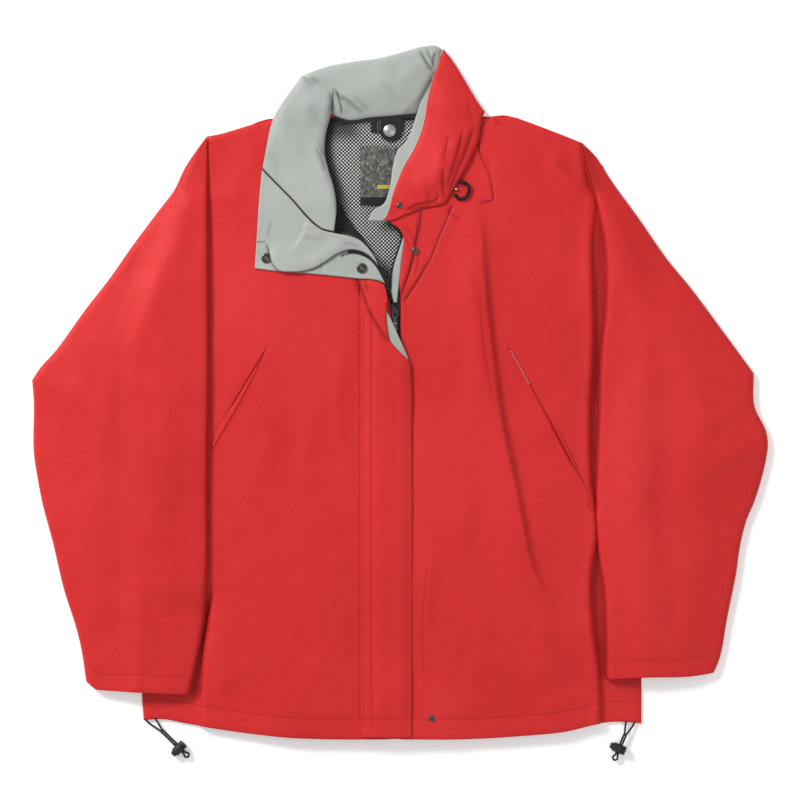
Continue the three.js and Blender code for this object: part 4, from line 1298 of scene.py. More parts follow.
cloth("label_cloth", label_loop, label_height, LABEL, ["label"], t=0.35, spacing=4, rims=(0.5, 1.2))
strip_loop = loop([(-37.6, 234), (-37.6, 224.4), (4.1, 224.4), (4.1, 234)], 3)
cloth("label_strip", strip_loop, lambda x, y: label_height(x, y) + 0.3, TAPE, slot="label", t=0.3, spacing=4,
      rims=(0.5,))
bar_loop = loop([(-17, 244), (-17, 248.5), (4, 248.5), (4, 244)], 2)
cloth("label_bar", bar_loop, lambda x, y: label_height(x, y) + 0.25, YELLOW, slot="label", t=0.2, spacing=3,
      rims=(0.5,))
edge_rows = [curve(line, 3)
             for line in ([(-36.5, 293), (3, 293)], [(-36.5, 236), (-36.5, 293)], [(3, 236), (3, 293)])]
stitches("label_stitching", [(row, label_height) for row in edge_rows], THREAD_GREY, slot="label", pitch=2.6,
         length=1.6, r=0.2)

TAB = loop([(-25, 327), (14.5, 329), (14.5, 316), (10, 306), (3, 300.5), (-5, 300.5), (-12, 306), (-14, 311),
            (-25, 312)], 2)
tab_ring = closed(TAB)


def tab_height(x, y):
    return 4.35 + 0.5 * roll(away(x, y, tab_ring), 1.0) + 0.1 * noise(x / 9, y / 9, 2)


TAB_BEND = ("jacket", "tab", (0, 325.5, 3.9), (0, 320, 3.9))
cloth("neck_tab_webbing", TAB, tab_height, TAPE, ["neck_tab"], "tab", "tape_black", t=0.9, spacing=2.0,
      rims=(0.4, 1.0), blend=TAB_BEND)
stitches("neck_tab_stitching", [(curve([(-13.8, 326), (-14.2, 313)], 2), tab_height),
                                (curve([(-16.6, 326), (-17, 313)], 2), tab_height)], THREAD_WHITE, "tab",
         "tape_black", pitch=2.6, length=1.5, r=0.28, blend=TAB_BEND)
cap_at = (-2.4, 313.7, 4.9)
lathe("neck_tab_dome", [(0, -1.3), (1.8, -1.3), (1.8, 0.25), (7.0, 0.25), (7.4, 0.4), (7.5, 0.7), (7.3, 1.0),
                        (6.9, 1.15), (6.7, 1.2), (5.8, 2.1), (4.6, 2.7), (3.0, 3.1), (1.5, 3.28), (0, 3.3)],
      cap_at, STEEL, "tab", ["neck_tab_cap"], "snap_metal", 48)
lathe("neck_tab_ring", [(2.15, -2.1), (4.3, -2.1), (4.6, -1.9), (4.6, -1.5), (4.3, -1.3), (2.15, -1.3), (2.15, -2.1)],
      cap_at, GUN, "tab", ["neck_tab_socket"], "snap_metal", 40)

# ---- collar
SEAM = curve([(-155, 267.6), (-122, 234), (-84.8, 196.2), (-70, 191.5)], 3)


# painted shade along the seam between the right collar and the lapel
def seam_painted_shade(x, y):
    return 0.85 * np.exp(-(away(x, y, SEAM) / 0.9) ** 2)


def lapel_level(x, y):
    return deck(x, y) + 1.7


BACK_COLLAR = loop([(-108, 379), (-95, 385), (-77, 391), (-45, 397), (-15, 401), (12, 408), (38, 415), (53, 416),
                    (60, 412), (58, 390), (46, 372), (30, 334), (0, 331.5), (-27, 329), (-50, 326), (-62, 329),
                    (-72, 333), (-74, 350)], 3)
back_ring = closed(BACK_COLLAR)
COLLAR_CREASES = [
    ([(-69.2, 366), (-71, 350), (-73.3, 333)], 1.9, 2.2, 9),
    ([(-69.2, 366), (-63, 350), (-60, 338), (-59.6, 330)], 2.2, 6, 2.2),
    ([(-64, 362), (-46, 349), (-24, 335)], 1.4, 9, 3.0),
    ([(33, 410), (38, 396), (44, 384)], 1.6, 4, 2.0),
    ([(50, 413), (48, 396), (46, 384)], 1.6, 2.2, 4),
    ([(-90, 377), (-110, 372), (-92, 368)], 0.8, 6, 6),
    ([(-20, 396), (-8, 380), (-14, 360)], 0.9, 10, 10),
]
COLLAR_CREASES = [(curve(line, 3), h, a, b) for line, h, a, b in COLLAR_CREASES]


def creases(x, y):
    z = 0
    for line, h, a, b in COLLAR_CREASES:
        z = z + fold(x, y, line, h, a, b, 0.3)
    return z


def back_collar(x, y):
    d = away(x, y, back_ring)
    puff = 6.2 * roll(d, 9) + 3.6 * (1 - np.exp(-(d / 22) ** 2))
    fall = 0.55 + 0.45 * smooth((y - 328) / 34)
    return 2.7 + puff * fall + (creases(x, y) + ripple(x, y, 0.7, 2)) * roll(d, 10)


cloth("back_collar_shell", inset(BACK_COLLAR, 1.6),
      lambda x, y: 1.0 + 1.3 * (1 - roll(away(x, y, back_ring), 5)), RED, ["back_collar_outer"],
      spacing=7)
# creases: each mark's dark and spread are painted shade along it
BACK_MARKS = [
    mark([(-69.2, 366), (-71, 350), (-73.3, 333)], 1.5, 1.6, 0.75, 1.0),
    mark([(-68, 365), (-63, 352), (-60.5, 342), (-59.6, 331)], 2.0, 1.6, 0.72, (1.0, 1.8)),
    mark([(-65.5, 360), (-62, 353), (-56, 350)], 1.2, 1.4, 0.5, 1.2),
    mark([(-61, 356), (-50, 347), (-40, 339), (-31, 333)], 1.4, 2.0, 0.42, (1.4, 2.8)),
    mark([(-44, 354), (-36, 346), (-27, 336)], 0.8, 2.0, 0.22, 2.5),
    mark([(-96, 378), (-90, 372), (-84, 370)], 0.8, 1.6, 0.3, 1.6),
    mark([(33, 412), (38, 402), (45, 391), (51, 384)], 1.6, 1.6, 0.6, (1.2, 2.5)),
    mark([(42, 413), (46, 402), (51, 392)], 1.4, 1.4, 0.5, 1.4),
    mark([(53, 408), (50, 398), (52, 388)], 1.2, 1.4, 0.45, 1.4),
    mark([(-6, 396), (4, 384), (6, 372)], 0.5, 3, 0.10, 4, False),
    mark([(-14, 372), (-2, 362), (4, 352)], 0.5, 3, 0.12, 4, False),
]
# painted shade on a strip of the back collar facing beside the left collar
DARK_STRIP = curve([(50, 386), (44, 366), (34, 346), (24, 333)], 3)


def strip_painted_shade(x, y):
    s, u = measure(x, y, DARK_STRIP)
    return 0.30 * smooth((9 * u + 3 - np.abs(s)) / 4)


cloth("back_collar_facing", BACK_COLLAR, back_collar, [GREY, GREY_IN], ["back_collar_lining"],
      spacing=3.4, marks=BACK_MARKS, painted_shade=strip_painted_shade)

RIGHT_COLLAR = loop([(-109, 378.5), (-90, 374), (-69.5, 366), (-71, 350), (-73, 333), (-79, 308), (-80, 286),
                     (-76, 268), (-69, 244), (-66, 220), (-69, 191.5), (-84.8, 196.2), (-122, 234), (-155, 267.6),
                     (-151, 290), (-146, 316), (-142, 328), (-135, 341), (-123, 359)], 3)
right_ring = closed(RIGHT_COLLAR)


def right_collar(x, y):
    d = away(x, y, right_ring)
    m = smooth(away(x, y, SEAM) / 55)
    join_up = smooth((378 - y) / 30)
    puff = (1.0 + 5.2 * m) * roll(d, 3 + 6 * m) + 3.4 * m * (1 - np.exp(-(d / 22) ** 2))
    slack = creases(x, y) + ripple(x, y, 0.8, 3)
    soft = fold(x, y, CREASE_A, 1.2, 9, 5) + fold(x, y, CREASE_B, 1.0, 10, 14)
    top_band = 0.9 * (1 - join_up)
    return lapel_level(x, y) + 0.3 + puff + top_band + (slack + soft) * roll(d, 12)


CREASE_A = curve([(-92, 300), (-84, 270), (-82, 244)], 4)
CREASE_B = curve([(-124, 350), (-132, 300), (-128, 262)], 4)
cloth("right_collar_shell", inset(RIGHT_COLLAR, 1.3),
      lambda x, y: lapel_level(x, y) - 0.3 + 0.9 * (1 - roll(away(x, y, right_ring), 3)), RED,
      ["right_collar_outer"], spacing=6)
# creases: each mark's dark and spread are painted shade along it
RIGHT_COLLAR_MARKS = [
    mark([(-69.2, 366), (-70.5, 350), (-73.3, 335)], 1.2, 1.6, 0.6, 1.0),
    mark([(-91, 296), (-86, 284), (-82, 276), (-79, 262)], 1.2, 2.0, 0.32, (1.6, 3)),
    mark([(-88, 302), (-84, 292), (-81, 282)], 0.8, 2.0, 0.25, 2),
    mark([(-97, 345), (-90, 330), (-84, 316)], 0.7, 3, 0.12, 4, False),
    mark([(-104, 374), (-97, 370), (-88, 370)], 0.7, 1.6, 0.25, 1.6),
    mark([(-140, 290), (-136, 262), (-128, 244)], 0.5, 3, 0.10, 4, False),
]
cloth("right_collar_facing", RIGHT_COLLAR, right_collar, [GREY, GREY_IN], ["right_collar_lining"],
      spacing=3.2, marks=RIGHT_COLLAR_MARKS,
      painted_shade=seam_painted_shade)

LAPEL = loop([(-155.5, 266.6), (-122.6, 233), (-85.4, 195), (-68, 190), (-50, 186.5), (-36, 180), (-24, 167),
              (-17.5, 156), (-16, 151.5), (-12.4, 141), (-7, 130), (-4, 121.5), (-8, 129), (-15, 132.6), (-45, 136),
              (-103, 142), (-130, 143.5), (-164, 148), (-162, 179), (-159, 228)], 2.6, 55)
lapel_ring = closed(LAPEL)
LAPEL_FREE = curve([(-155.5, 267.4), (-159, 228), (-162, 179), (-164, 148), (-130, 143.5), (-103, 142), (-45, 136),
                    (-15, 132.6), (-8, 129), (-4, 121.5)], 3, corner=50)
GUARD = curve([(-149, 179), (-146.5, 166), (-142, 152), (-134, 144.5), (-120, 143.2), (-104, 144.5), (-90, 149),
               (-77, 157), (-64, 165.5), (-50, 169.8), (-38, 168.5), (-28, 163.5), (-20, 156), (-14, 149)], 2)
NOTCH = curve([(-163, 178.8), (-150, 179.6)], 2)
LAPEL_ROW = curve([(-158.5, 232), (-159.4, 179), (-160.6, 151.5), (-130, 147.4), (-103, 145.8), (-45, 139.8),
                   (-16, 136.2)], 3, corner=50)


def lapel(x, y):
    d = away(x, y, lapel_ring)
    s, u = measure(x, y, GUARD)
    over_strip = smooth((s + 0.3) / 1.2) * smooth(u / 0.12)
    bulge = over_strip * (1.9 + 1.9 * np.exp(-((s - 6) / 9) ** 2))
    hemmed = 0.5 * np.exp(-((away(x, y, LAPEL_FREE) - 1.6) / 1.5) ** 2)
    rows = groove(x, y, LAPEL_ROW, 0.35, 0.8) + groove(x, y, NOTCH, 0.5, 0.8)
    return lapel_level(x, y) + 0.9 * roll(d, 1.8) + bulge + hemmed + rows + ripple(x, y, 0.5, 3) * roll(d, 10)


cloth("lapel_shell", inset(LAPEL, 0.9), lambda x, y: lapel_level(x, y) - 0.45, RED, ["lapel_outer"],
      spacing=5)
# creases and fold edges: each mark's dark and spread are painted shade along it
LAPEL_MARKS = [
    (GUARD, 0, 1, 0.8, (0.5, 1.1), True, 0.05), (NOTCH, 0.3, 0.8, 0.6, 0.8, True, 0.05),
    mark([(-150, 178), (-147, 168), (-146.5, 160)], 0.8, 1.4, 0.45, 1.2),
    mark([(-143, 205), (-146, 194), (-148, 182)], 0.6, 2.0, 0.22, 1.8),
    mark([(-84, 160), (-84.5, 152), (-85, 142)], 0.3, 1.0, 0.25, 0.8),
    mark([(-106, 186), (-92, 182), (-76, 184)], 0.7, 3, 0.14, 3, False),
    mark([(-60, 176), (-48, 177), (-36, 172)], 0.8, 2, 0.25, 1.6),
]
cloth("lapel_facing_cloth", LAPEL, lapel, [GREY, GREY_IN], ["lapel_facing"], spacing=2.8,
      offsets=(0, 0.5, 1.2, 2.4), marks=LAPEL_MARKS,
      painted_shade=seam_painted_shade)
stitches("lapel_stitching", [(LAPEL_ROW, lapel)], THREAD_GREY, slot="facing_grey", pitch=3.2)

LEFT_EDGE = [(62, 412), (73, 398), (92, 367), (104, 347), (112, 336), (109.6, 331), (103.6, 300), (70, 235),
             (62.8, 224.4)]
LEFT_COLLAR = loop([*LEFT_EDGE, (50, 222), (36, 219), (14.4, 211), (-3, 204.5), (-9.7, 206), (-6, 212), (1.6, 238),
                    (8, 255), (14.4, 270), (27, 292), (35, 311), (40, 330), (43, 350), (50, 378), (58, 402)], 2.8)
left_ring = closed(LEFT_COLLAR)
LEFT_LINING = loop([(60, 411), (90, 360), (104, 330), (98, 302), (66, 236), (58, 226), (40, 222), (14.4, 212),
                    (-8.6, 205), (-29.6, 205), (-25, 212), (-22.4, 217), (-9, 226), (-4, 238), (-1, 252), (0.4, 265),
                    (6.4, 288), (19, 304), (29.5, 332), (38, 360), (50, 389.5)], 3)
lining_ring = closed(LEFT_LINING)
LEFT_CREASES = [
    ([(83, 316), (76, 280), (66, 238)], 2.2, 3.0, 12),
    ([(66, 300), (58, 270), (52, 240)], 1.8, 5, 10),
    ([(98, 330), (86, 296), (78, 262)], 1.4, 5, 8),
    ([(56, 240), (62, 232), (52, 226)], 1.2, 4, 4),
    ([(10, 217), (34, 226), (56, 228)], 1.2, 4, 3),
    ([(60, 380), (70, 350), (72, 320)], 1.3, 12, 14),
    ([(30, 262), (40, 240), (40, 226)], 1.2, 7, 7),
]
LEFT_CREASES = [(curve(line, 3), h, a, b) for line, h, a, b in LEFT_CREASES]


def left_collar(x, y):
    d = away(x, y, left_ring)
    high = smooth((y - 205) / 60)
    puff = (0.9 + 3.0 * high) * roll(d, 2.5 + 3.5 * high) + 3.8 * high * (1 - np.exp(-(d / 20) ** 2))
    slack = ripple(x, y, 0.9, 2)
    for line, h, a, b in LEFT_CREASES:
        slack = slack + fold(x, y, line, h, a, b, 0.3)
    back = 3.2 * smooth((y - 330) / 40)
    return deck(x, y) + 1.9 + puff + back + slack * roll(d, 9)


def left_collar_lining(x, y):
    d = away(x, y, lining_ring)
    dip = -1.2 * smooth((y - 300) / 50)
    back = 3.2 * smooth((y - 330) / 40)
    return deck(x, y) + 0.95 + back + dip + 0.9 * roll(d, 2.2) - 0.6 + 0.3 * noise(x / 14, y / 18, 2)


cloth("left_collar_facing", LEFT_LINING, left_collar_lining, [GREY, GREY_IN], ["left_collar_lining"],
      spacing=4)
# creases: each mark's dark and spread are painted shade along it
LEFT_COLLAR_MARKS = [
    mark([(88, 318), (80, 290), (72, 262), (66, 240)], 1.8, 2.2, 0.42, (1.6, 4)),
    mark([(69, 309), (66, 292), (62, 276)], 1.2, 2.2, 0.32, (2, 4)),
    mark([(100, 322), (92, 296), (82, 270), (72, 245), (66, 230)], 1.4, 2.0, 0.42, (1.6, 3.5)),
    mark([(62, 268), (62, 250), (63, 230)], 1.6, 2.0, 0.45, (1.6, 3)),
    mark([(14, 214), (26, 222), (40, 226), (52, 229), (60, 236)], 1.4, 1.6, 0.6, 1.4),
    mark([(20, 218), (36, 220), (50, 226), (58, 226)], 1.0, 1.4, 0.45, 1.3),
    mark([(52, 240), (56, 234), (53, 227)], 1.0, 1.4, 0.45, 1.2),
    mark([(40, 244), (46, 234), (44, 225)], 0.8, 1.6, 0.3, 1.6),
    mark([(60, 398), (64, 370), (70, 345)], 0.6, 3, 0.10, 4, False),
    mark([(92, 352), (94, 336), (100, 322)], 0.8, 2, 0.25, 2.4),
]
cloth("left_collar_shell", LEFT_COLLAR, left_collar, RED, ["left_collar_outer"],
      spacing=3.2, marks=LEFT_COLLAR_MARKS)

piping = [(62, 411), (58, 402), (50, 378), (43, 350), (40, 330), (35, 311), (27, 292), (14.4, 270), (8, 255),
          (1.6, 238), (-6, 212), (-9.7, 206.5)]
piping = curve(piping, 3)


def welting(name, line, height, mat, r, slot):
    """thin cord sewn along an edge"""
    pts = np.column_stack([line, height(line[:, 0], line[:, 1])])
    obj = wire_tube(name, pts, r, mat)
    finish(obj, "jacket", (), slot)
    return obj


welting("left_collar_piping", piping, lambda x, y: left_collar(x, y) - 0.1, THREAD_GREY, 0.6, "facing_grey")

welting("collar_seam_binding", SEAM, lambda x, y: np.minimum(right_collar(x, y), lapel(x, y)) - 0.35, TAPE, 0.85,
        "tape_black")

# ---- the grey guard beside the zip on the left front
FACING_L = loop([(14.2, 187), (14.8, 180), (12, 160), (9.2, 134.4), (6.4, 106.8), (2.8, 106.8), (0.2, 115.2),
                 (-3.2, 127), (1, 145), (4.8, 158), (9.5, 172), (12.8, 182)], 2)
facing_ring = closed(FACING_L)


def facing_height(x, y):
    return base(x, y) - 0.5 + 0.8 * roll(away(x, y, facing_ring), 1.8)


cloth("left_front_guard", FACING_L, facing_height, [GREY, GREY_IN], ["left_facing"], t=0.6,
      spacing=2.6, rims=(0.4, 1.0, 2.0))

# ---- zip
ZIP_X, LEVEL = 4.0, 10.5
CHAIN_Z = LEVEL + 2.6 + 0.45           # middle of the chain, off the floor
STOP_Y, SLIDER_Y = -385.0, 97.5
path_r = curve([(2.05, STOP_Y), (2.05, 101), (0.8, 111), (-4.6, 124), (-10, 137), (-16.8, 149), (-25, 158.5),
                (-35, 164.4), (-48, 166.8), (-60, 163)], 2.25)
path_l = curve([(5.95, STOP_Y), (5.95, 101), (3.6, 110), (-1.8, 119), (-4.6, 127), (-1, 143), (3.4, 157),
                (8.4, 172), (11.8, 183), (10.5, 191), (4, 197), (-8, 202)], 2.25)


def chain_z(x, y):
    """middle of the chain: inside the body, then up and over the lapel on the right"""
    over_lapel = smooth((y - 104) / 24) * smooth((4 - x) / 8)
    return CHAIN_Z - LEVEL + loft(x, y) + over_lapel * 4.6 + 0.4 * smooth((y - 100) / 30) * noise(x / 22, y / 22, 4)


def tape(name, line, side, width, node):
    """woven tape beside the chain; width is given along the line"""
    norm = left_of(line)[1] * side
    w = np.interp(travelled(line), *width)[:, None]
    near = line + norm * -1.0
    outline = np.vstack([near, (line + norm * w)[::-1]])

    def height(x, y):
        return chain_z(x, y) - 0.1 + 0.25 * np.exp(-((away(x, y, line) - 1.6) / 0.8) ** 2)
    return cloth(name, outline, height, TAPE, [node] if node else (), t=0.45, spacing=4, rims=())


tape("right_zip_tape_cloth", path_r[::2], -1, ([0, 480, 510, 560, 700], [3, 3, 4.5, 5, 5]), "right_zip_tape")
tape("right_zip_tape_wide", path_r[:218:2], 1, ([0, 480, 700], [13.5, 13.5, 13.5]), None)
tape("left_zip_tape_cloth", path_l[::2], -1, ([0, 480, 505, 530, 700], [13.5, 13.5, 8, 5, 5]), "left_zip_tape")
# black binding tape whose sheet also covers the wedge where the net lies in shade: part binding, part painted shade
BINDING_AND_SHADE = loop([(-71, 232), (-62, 226), (-54, 211), (-43, 195), (-31, 180), (-20, 163), (-8, 138), (-6, 131),
                (-21, 156), (-34, 174), (-51, 185), (-70, 190.5), (-71.5, 210)], 2.5)
cloth("right_neck_binding", BINDING_AND_SHADE, lambda x, y: lining_height(x, y) + 2.2 + 2.4 * smooth((y - 130) / 50), TAPE,
      t=0.5, spacing=4, rims=(0.6, 1.6))


def teeth(name, line, side, node):
    """moulded teeth along one tape, each with a waist and a head"""
    tan, norm = left_of(line)
    norm = norm * side
    z = chain_z(line[:, 0], line[:, 1])
    plan = [(-1.25, -0.45), (-0.2, -0.55), (0.5, -0.42), (1.0, -0.72), (1.5, -0.5), (1.5, 0.5), (1.0, 0.72),
            (0.5, 0.42), (-0.2, 0.55), (-1.25, 0.45)]
    verts, faces = [], []
    for p, t, m, h in zip(line, tan, norm, z):
        n = len(verts)
        for dz, k in ((-1.05, 0.86), (-0.8, 1.0), (0.8, 1.0), (1.05, 0.86)):
            for a, b in plan:
                q = p - m * a * k + t * b * k
                verts.append((*q, h + dz))
        c = len(plan)
        faces += [[n + i for i in range(c)][::-1], [n + 3 * c + i for i in range(c)]]
        faces += [[n + j * c + i, n + j * c + (i + 1) % c, n + (j + 1) * c + (i + 1) % c, n + (j + 1) * c + i]
                  for j in range(3) for i in range(c)]
    obj = new_object(name, world(verts), faces, TEETH, smooth_faces=False)
    bm = bmesh.new()
    bm.from_mesh(obj.data)
    bmesh.ops.recalc_face_normals(bm, faces=bm.faces)
    bm.to_mesh(obj.data)
    bm.free()
    finish(obj, "jacket", [node], "zip_plastic")


def spaced(line, pitch):
    return at_places(line, np.arange(pitch / 2, travelled(line)[-1], pitch))


shift = np.array([[0, 1.12]])
teeth("right_zip_teeth", spaced(path_r, 2.25), 1, "right_zip_chain")
teeth("left_zip_teeth", spaced(np.vstack([path_l[:1] + shift, path_l[1:]]), 2.25), -1, "left_zip_chain")

stop_z = LEVEL + 2.35
block("zip_bottom_stop", [(-0.5, STOP_Y - 9), (8.5, STOP_Y - 9), (8.5, STOP_Y - 1), (7.5, STOP_Y - 0.3),
                          (0.5, STOP_Y - 0.3), (-0.5, STOP_Y - 1)], stop_z - 1.0, stop_z + 1.7, TEETH, "jacket",
      ["zip_stop"], "zip_plastic", 0.5)


def rounded(points, r):
    """corners of an outline turned into short arcs"""
    out = []
    n = len(points)
    for k in range(n):
        a, b, c = (np.array(points[(k + j) % n], float) for j in (-1, 0, 1))
        u, v = a - b, c - b
        ru, rv = min(r, np.hypot(*u) * 0.45), min(r, np.hypot(*v) * 0.45)
        p, q = b + u / np.hypot(*u) * ru, b + v / np.hypot(*v) * rv
        out += [(1 - t) ** 2 * p + 2 * t * (1 - t) * b + t * t * q for t in np.linspace(0, 1, 4)]
    return out


# slider: two shaped plates on a wedge, and a bridge that holds the pull
CHAIN_LOW, CHAIN_TALL, SLIDER_GAP, PLATE = LEVEL + 2.6 - 0.65, 2.2, 0.3, 1.0
plate_top = CHAIN_LOW + CHAIN_TALL + SLIDER_GAP + PLATE
low_z = CHAIN_LOW - SLIDER_GAP - PLATE
y0, y1 = SLIDER_Y - 8.5, SLIDER_Y + 8.5
shield = rounded([(ZIP_X - 3.9, y0), (ZIP_X + 3.9, y0), (ZIP_X + 5, y0 + 5), (ZIP_X + 6, y1 - 5), (ZIP_X + 5.6, y1),
                  (ZIP_X + 1, y1 - 0.9), (ZIP_X - 1, y1 - 0.9), (ZIP_X - 5.6, y1), (ZIP_X - 6, y1 - 5),
                  (ZIP_X - 5, y0 + 5)], 1.6)
parts = [block("s1", shield, plate_top - PLATE, plate_top, BLACK_METAL, bevel=0.3),
         block("s2", shield, low_z, low_z + PLATE, BLACK_METAL, bevel=0.3),
         block("s3", rounded([(ZIP_X - 0.35, SLIDER_Y + 1), (ZIP_X + 0.35, SLIDER_Y + 1), (ZIP_X + 0.35, SLIDER_Y + 7),
                              (ZIP_X - 0.35, SLIDER_Y + 7)], 0.2), low_z + 0.5, plate_top - 0.5, BLACK_METAL, bevel=0)]
arch_y = [(-5, -0.4), (-5, 1.8), (-4.2, 2.9), (-3, 3.45), (3, 3.45), (4.2, 2.9), (5, 1.8), (5, -0.4), (3.7, -0.4),
          (3.7, 1.9), (3.2, 2.55), (-3.2, 2.55), (-3.7, 1.9), (-3.7, -0.4)]
side_on = [[0, 1, 0], [0, 0, 1], [1, 0, 0]]
parts.append(block("s4", arch_y, -1.5, 1.5, BLACK_METAL, bevel=0.25, frame3=side_on, at=(ZIP_X, SLIDER_Y, plate_top)))
slider = join(parts, "zip_slider_body")
finish(slider, "slider", ["zip_slider"], "zip_metal")

pivot = plate_top + 1.35
grip = rounded([(-3.5, 0.9), (3.5, 0.9), (3.5, -8.4), (2.5, -11.5), (3.1, -14), (3.1, -23.5), (1.6, -26), (-1.6, -26),
                (-3.1, -23.5), (-3.1, -14), (-2.5, -11.5), (-3.5, -8.4)], 1.2)
grip_obj = block("zip_pull_tab", grip, pivot - 0.7, pivot + 0.7, BLACK_METAL, bevel=0.3, at=(ZIP_X, SLIDER_Y, 0))
window = rounded([(-1.9, -0.8), (1.9, -0.8), (1.9, -6.8), (-1.9, -6.8)], 0.6)
cut(grip_obj, block("tool", window, pivot - 3, pivot + 3, BLACK_METAL, bevel=0, at=(ZIP_X, SLIDER_Y, 0)))
grip_obj.data.set_sharp_from_angle(angle=math.radians(35))
ribs = [grip_obj]
for k in range(5):
    yk = -15.2 - k * 1.75
    ribs.append(block("rib", rounded([(-2.3, yk), (2.3, yk), (2.3, yk - 0.8), (-2.3, yk - 0.8)], 0.35),
                      pivot + 0.6, pivot + 0.95, STEEL if k in (0, 4) else BLACK_METAL, bevel=0.1,
                      at=(ZIP_X, SLIDER_Y, 0)))
pull = join(ribs, "zip_pull_tab")
finish(pull, "pull", ["zip_pull"], "zip_metal")

# ---- storm flap, sewn along its left edge and arched over the slider
FLAP_BEND = ("jacket", "flap", (-37.2, 0, 0), (-29, 0, 0))
FLAP_EDGE = [(-5.5, 106), (-6.2, 96), (-5, 74), (-2, 62), (4, 54), (15, 43), (21.5, 36.5), (23, 28), (24.6, -60),
             (25.4, -213), (24.5, -396), (24.5, -413.5)]
FLAP = loop([(-37, -413.5), (-37.6, -200), (-37, 106), (-38, 134.4), (-16, 131.8), (-9.4, 128), (-6.6, 121),
             *FLAP_EDGE], 3.2, 50)
FLAP_FREE = curve(FLAP_EDGE, 3)
FLAP_ROWS = [curve([(-23.6, 100), (-24.2, -150), (-23.6, -404)], 3),
             curve([(-33.5, 104), (-34, -150), (-33.5, -404)], 3)]
FLAP_TURN = curve([(-42, 136), (-32, 116), (-22, 92), (-10, 72), (-2, 60)], 3)


def flap_base(x, y):
    rise = 0.5 + 4.4 * smooth((x + 37) / 26) * smooth((28 - x) / 17)
    return LEVEL + 4.9 + rise * (0.45 + 0.55 * smooth((y + 416) / 46))


def flap(x, y):
    d = away(x, y, FLAP_FREE)
    z = flap_base(x, y) + 1.3 + 0.9 * ripple(x, y, 0.8, 1)
    z = z + 0.45 * np.exp(-((d - 2.2) / 1.8) ** 2) - 1.1 * (1 - roll(d, 2.0))
    for row in FLAP_ROWS:
        z = z + groove(x, y, row, 0.6, 1.1)
    s, u = measure(x, y, FLAP_TURN)
    turn = smooth(u / 0.15) * smooth((1 - u) / 0.1)
    z = z + 1.3 * turn * np.exp(-(s / np.where(s > 0, 9, 2.2)) ** 2)
    top = away(x, y, HEM)
    return z - 2.0 * smooth((x + 30) / -8) + 0.8 * np.exp(-((top - 8) / 6) ** 2) + groove(x, y, HEM_SEAM, 0.5, 1.2)


# creases and seams: each mark's dark and spread are painted shade along it
FLAP_MARKS = [
    *[(row, 0, 1, 0.14, 0.8, True, 0.03) for row in FLAP_ROWS],
    mark([(-41.6, 141), (-35, 122), (-27, 98), (-14, 76), (-3, 60)], 1.2, 1.8, 0.75, (0.9, 2.4), ends=0.05),
    mark([(-36, 141), (-30, 128), (-27, 118)], 1.0, 1.8, 0.5, (1.4, 3)),
    (HEM_SEAM, 0, 1, 0.08, 0.8, True, 0.01),
    mark([(-12, 40), (-16, -20), (-14, -90)], 0.6, 3, 0.12, 4, False),
    mark([(2, 20), (6, -40), (4, -110)], 0.5, 3, 0.10, 4, False),
]
cloth("storm_flap_shell", FLAP, flap, RED, ["storm_flap"], "flap", "shell_red", spacing=3.8,
      lines=[FLAP_TURN], offsets=(0, 0.6, 1.5), marks=FLAP_MARKS,
      blend=FLAP_BEND)
FLAP_FACING = loop([(-27, -411), (-27, 104), (-6.5, 104), (-5.6, 96), (-3.2, 92), (1.4, 82.5), (7.8, 68),
                    (20.2, 39.6), (21.8, 34), (23.4, -60), (24.2, -213), (23.4, -396), (23.4, -411)], 3.2, 60)
facing_edge = curve([(-6, 101), (-5.6, 96), (-3.2, 92), (1.4, 82.5), (7.8, 68), (20.2, 39.6), (21.8, 34)], 2)


def flap_facing(x, y):
    d = away(x, y, facing_edge)
    return flap_base(x, y) + 0.2 - 0.6 * (1 - roll(d, 1.8)) * (y > 30)


cloth("storm_flap_facing_cloth", FLAP_FACING, flap_facing, [GREY, GREY_IN], ["storm_flap_facing"], "flap",
      "facing_grey", t=0.6, spacing=6, rims=(0.5, 1.4),
      blend=FLAP_BEND)
stitches("storm_flap_stitching", [(row, flap) for row in FLAP_ROWS], THREAD_RED, slot="shell_red",
         blend=FLAP_BEND)

# ---- stitching on the body
hem_left = HEM_SEAM[(HEM_SEAM[:, 0] > 32)]
hem_right = HEM_SEAM[(HEM_SEAM[:, 0] < -42)]
stitches("right_front_stitching", [(hem_right, right_shell), (FLAP_SEAM, right_shell)], THREAD_RED, slot="shell_red")
stitches("left_front_stitching", [(hem_left, left_shell), (PATCH, left_shell)], THREAD_RED, slot="shell_red")
stitches("right_pocket_stitching", [(welt_r[: len(welt_r) // 2], right_welt_z)], THREAD_RED, slot="shell_red",
         pitch=3.0)
lip = curve([(142.5, 49.5), (153, 31), (165, 9)], 2)
stitches("left_pocket_stitching", [(lip, left_welt_z)], THREAD_WHITE, slot="shell_red", pitch=2.6, length=2.3, r=0.4)
stitches("neck_binding_stitching",
         [(curve([(-70, 193.5), (-52, 189.5), (-40, 183.5), (-31, 174.5), (-24, 164)], 2),
           lambda x, y: lining_height(x, y) + 2.25 + 2.4 * smooth((y - 130) / 50))], THREAD_WHITE,
         slot="tape_black", pitch=3.6, length=1.5, r=0.32)

# ---- snaps
def press_level(shape, x, y, extra=0.0):
    return float(shape(np.array([x]), np.array([y]))[0]) + extra


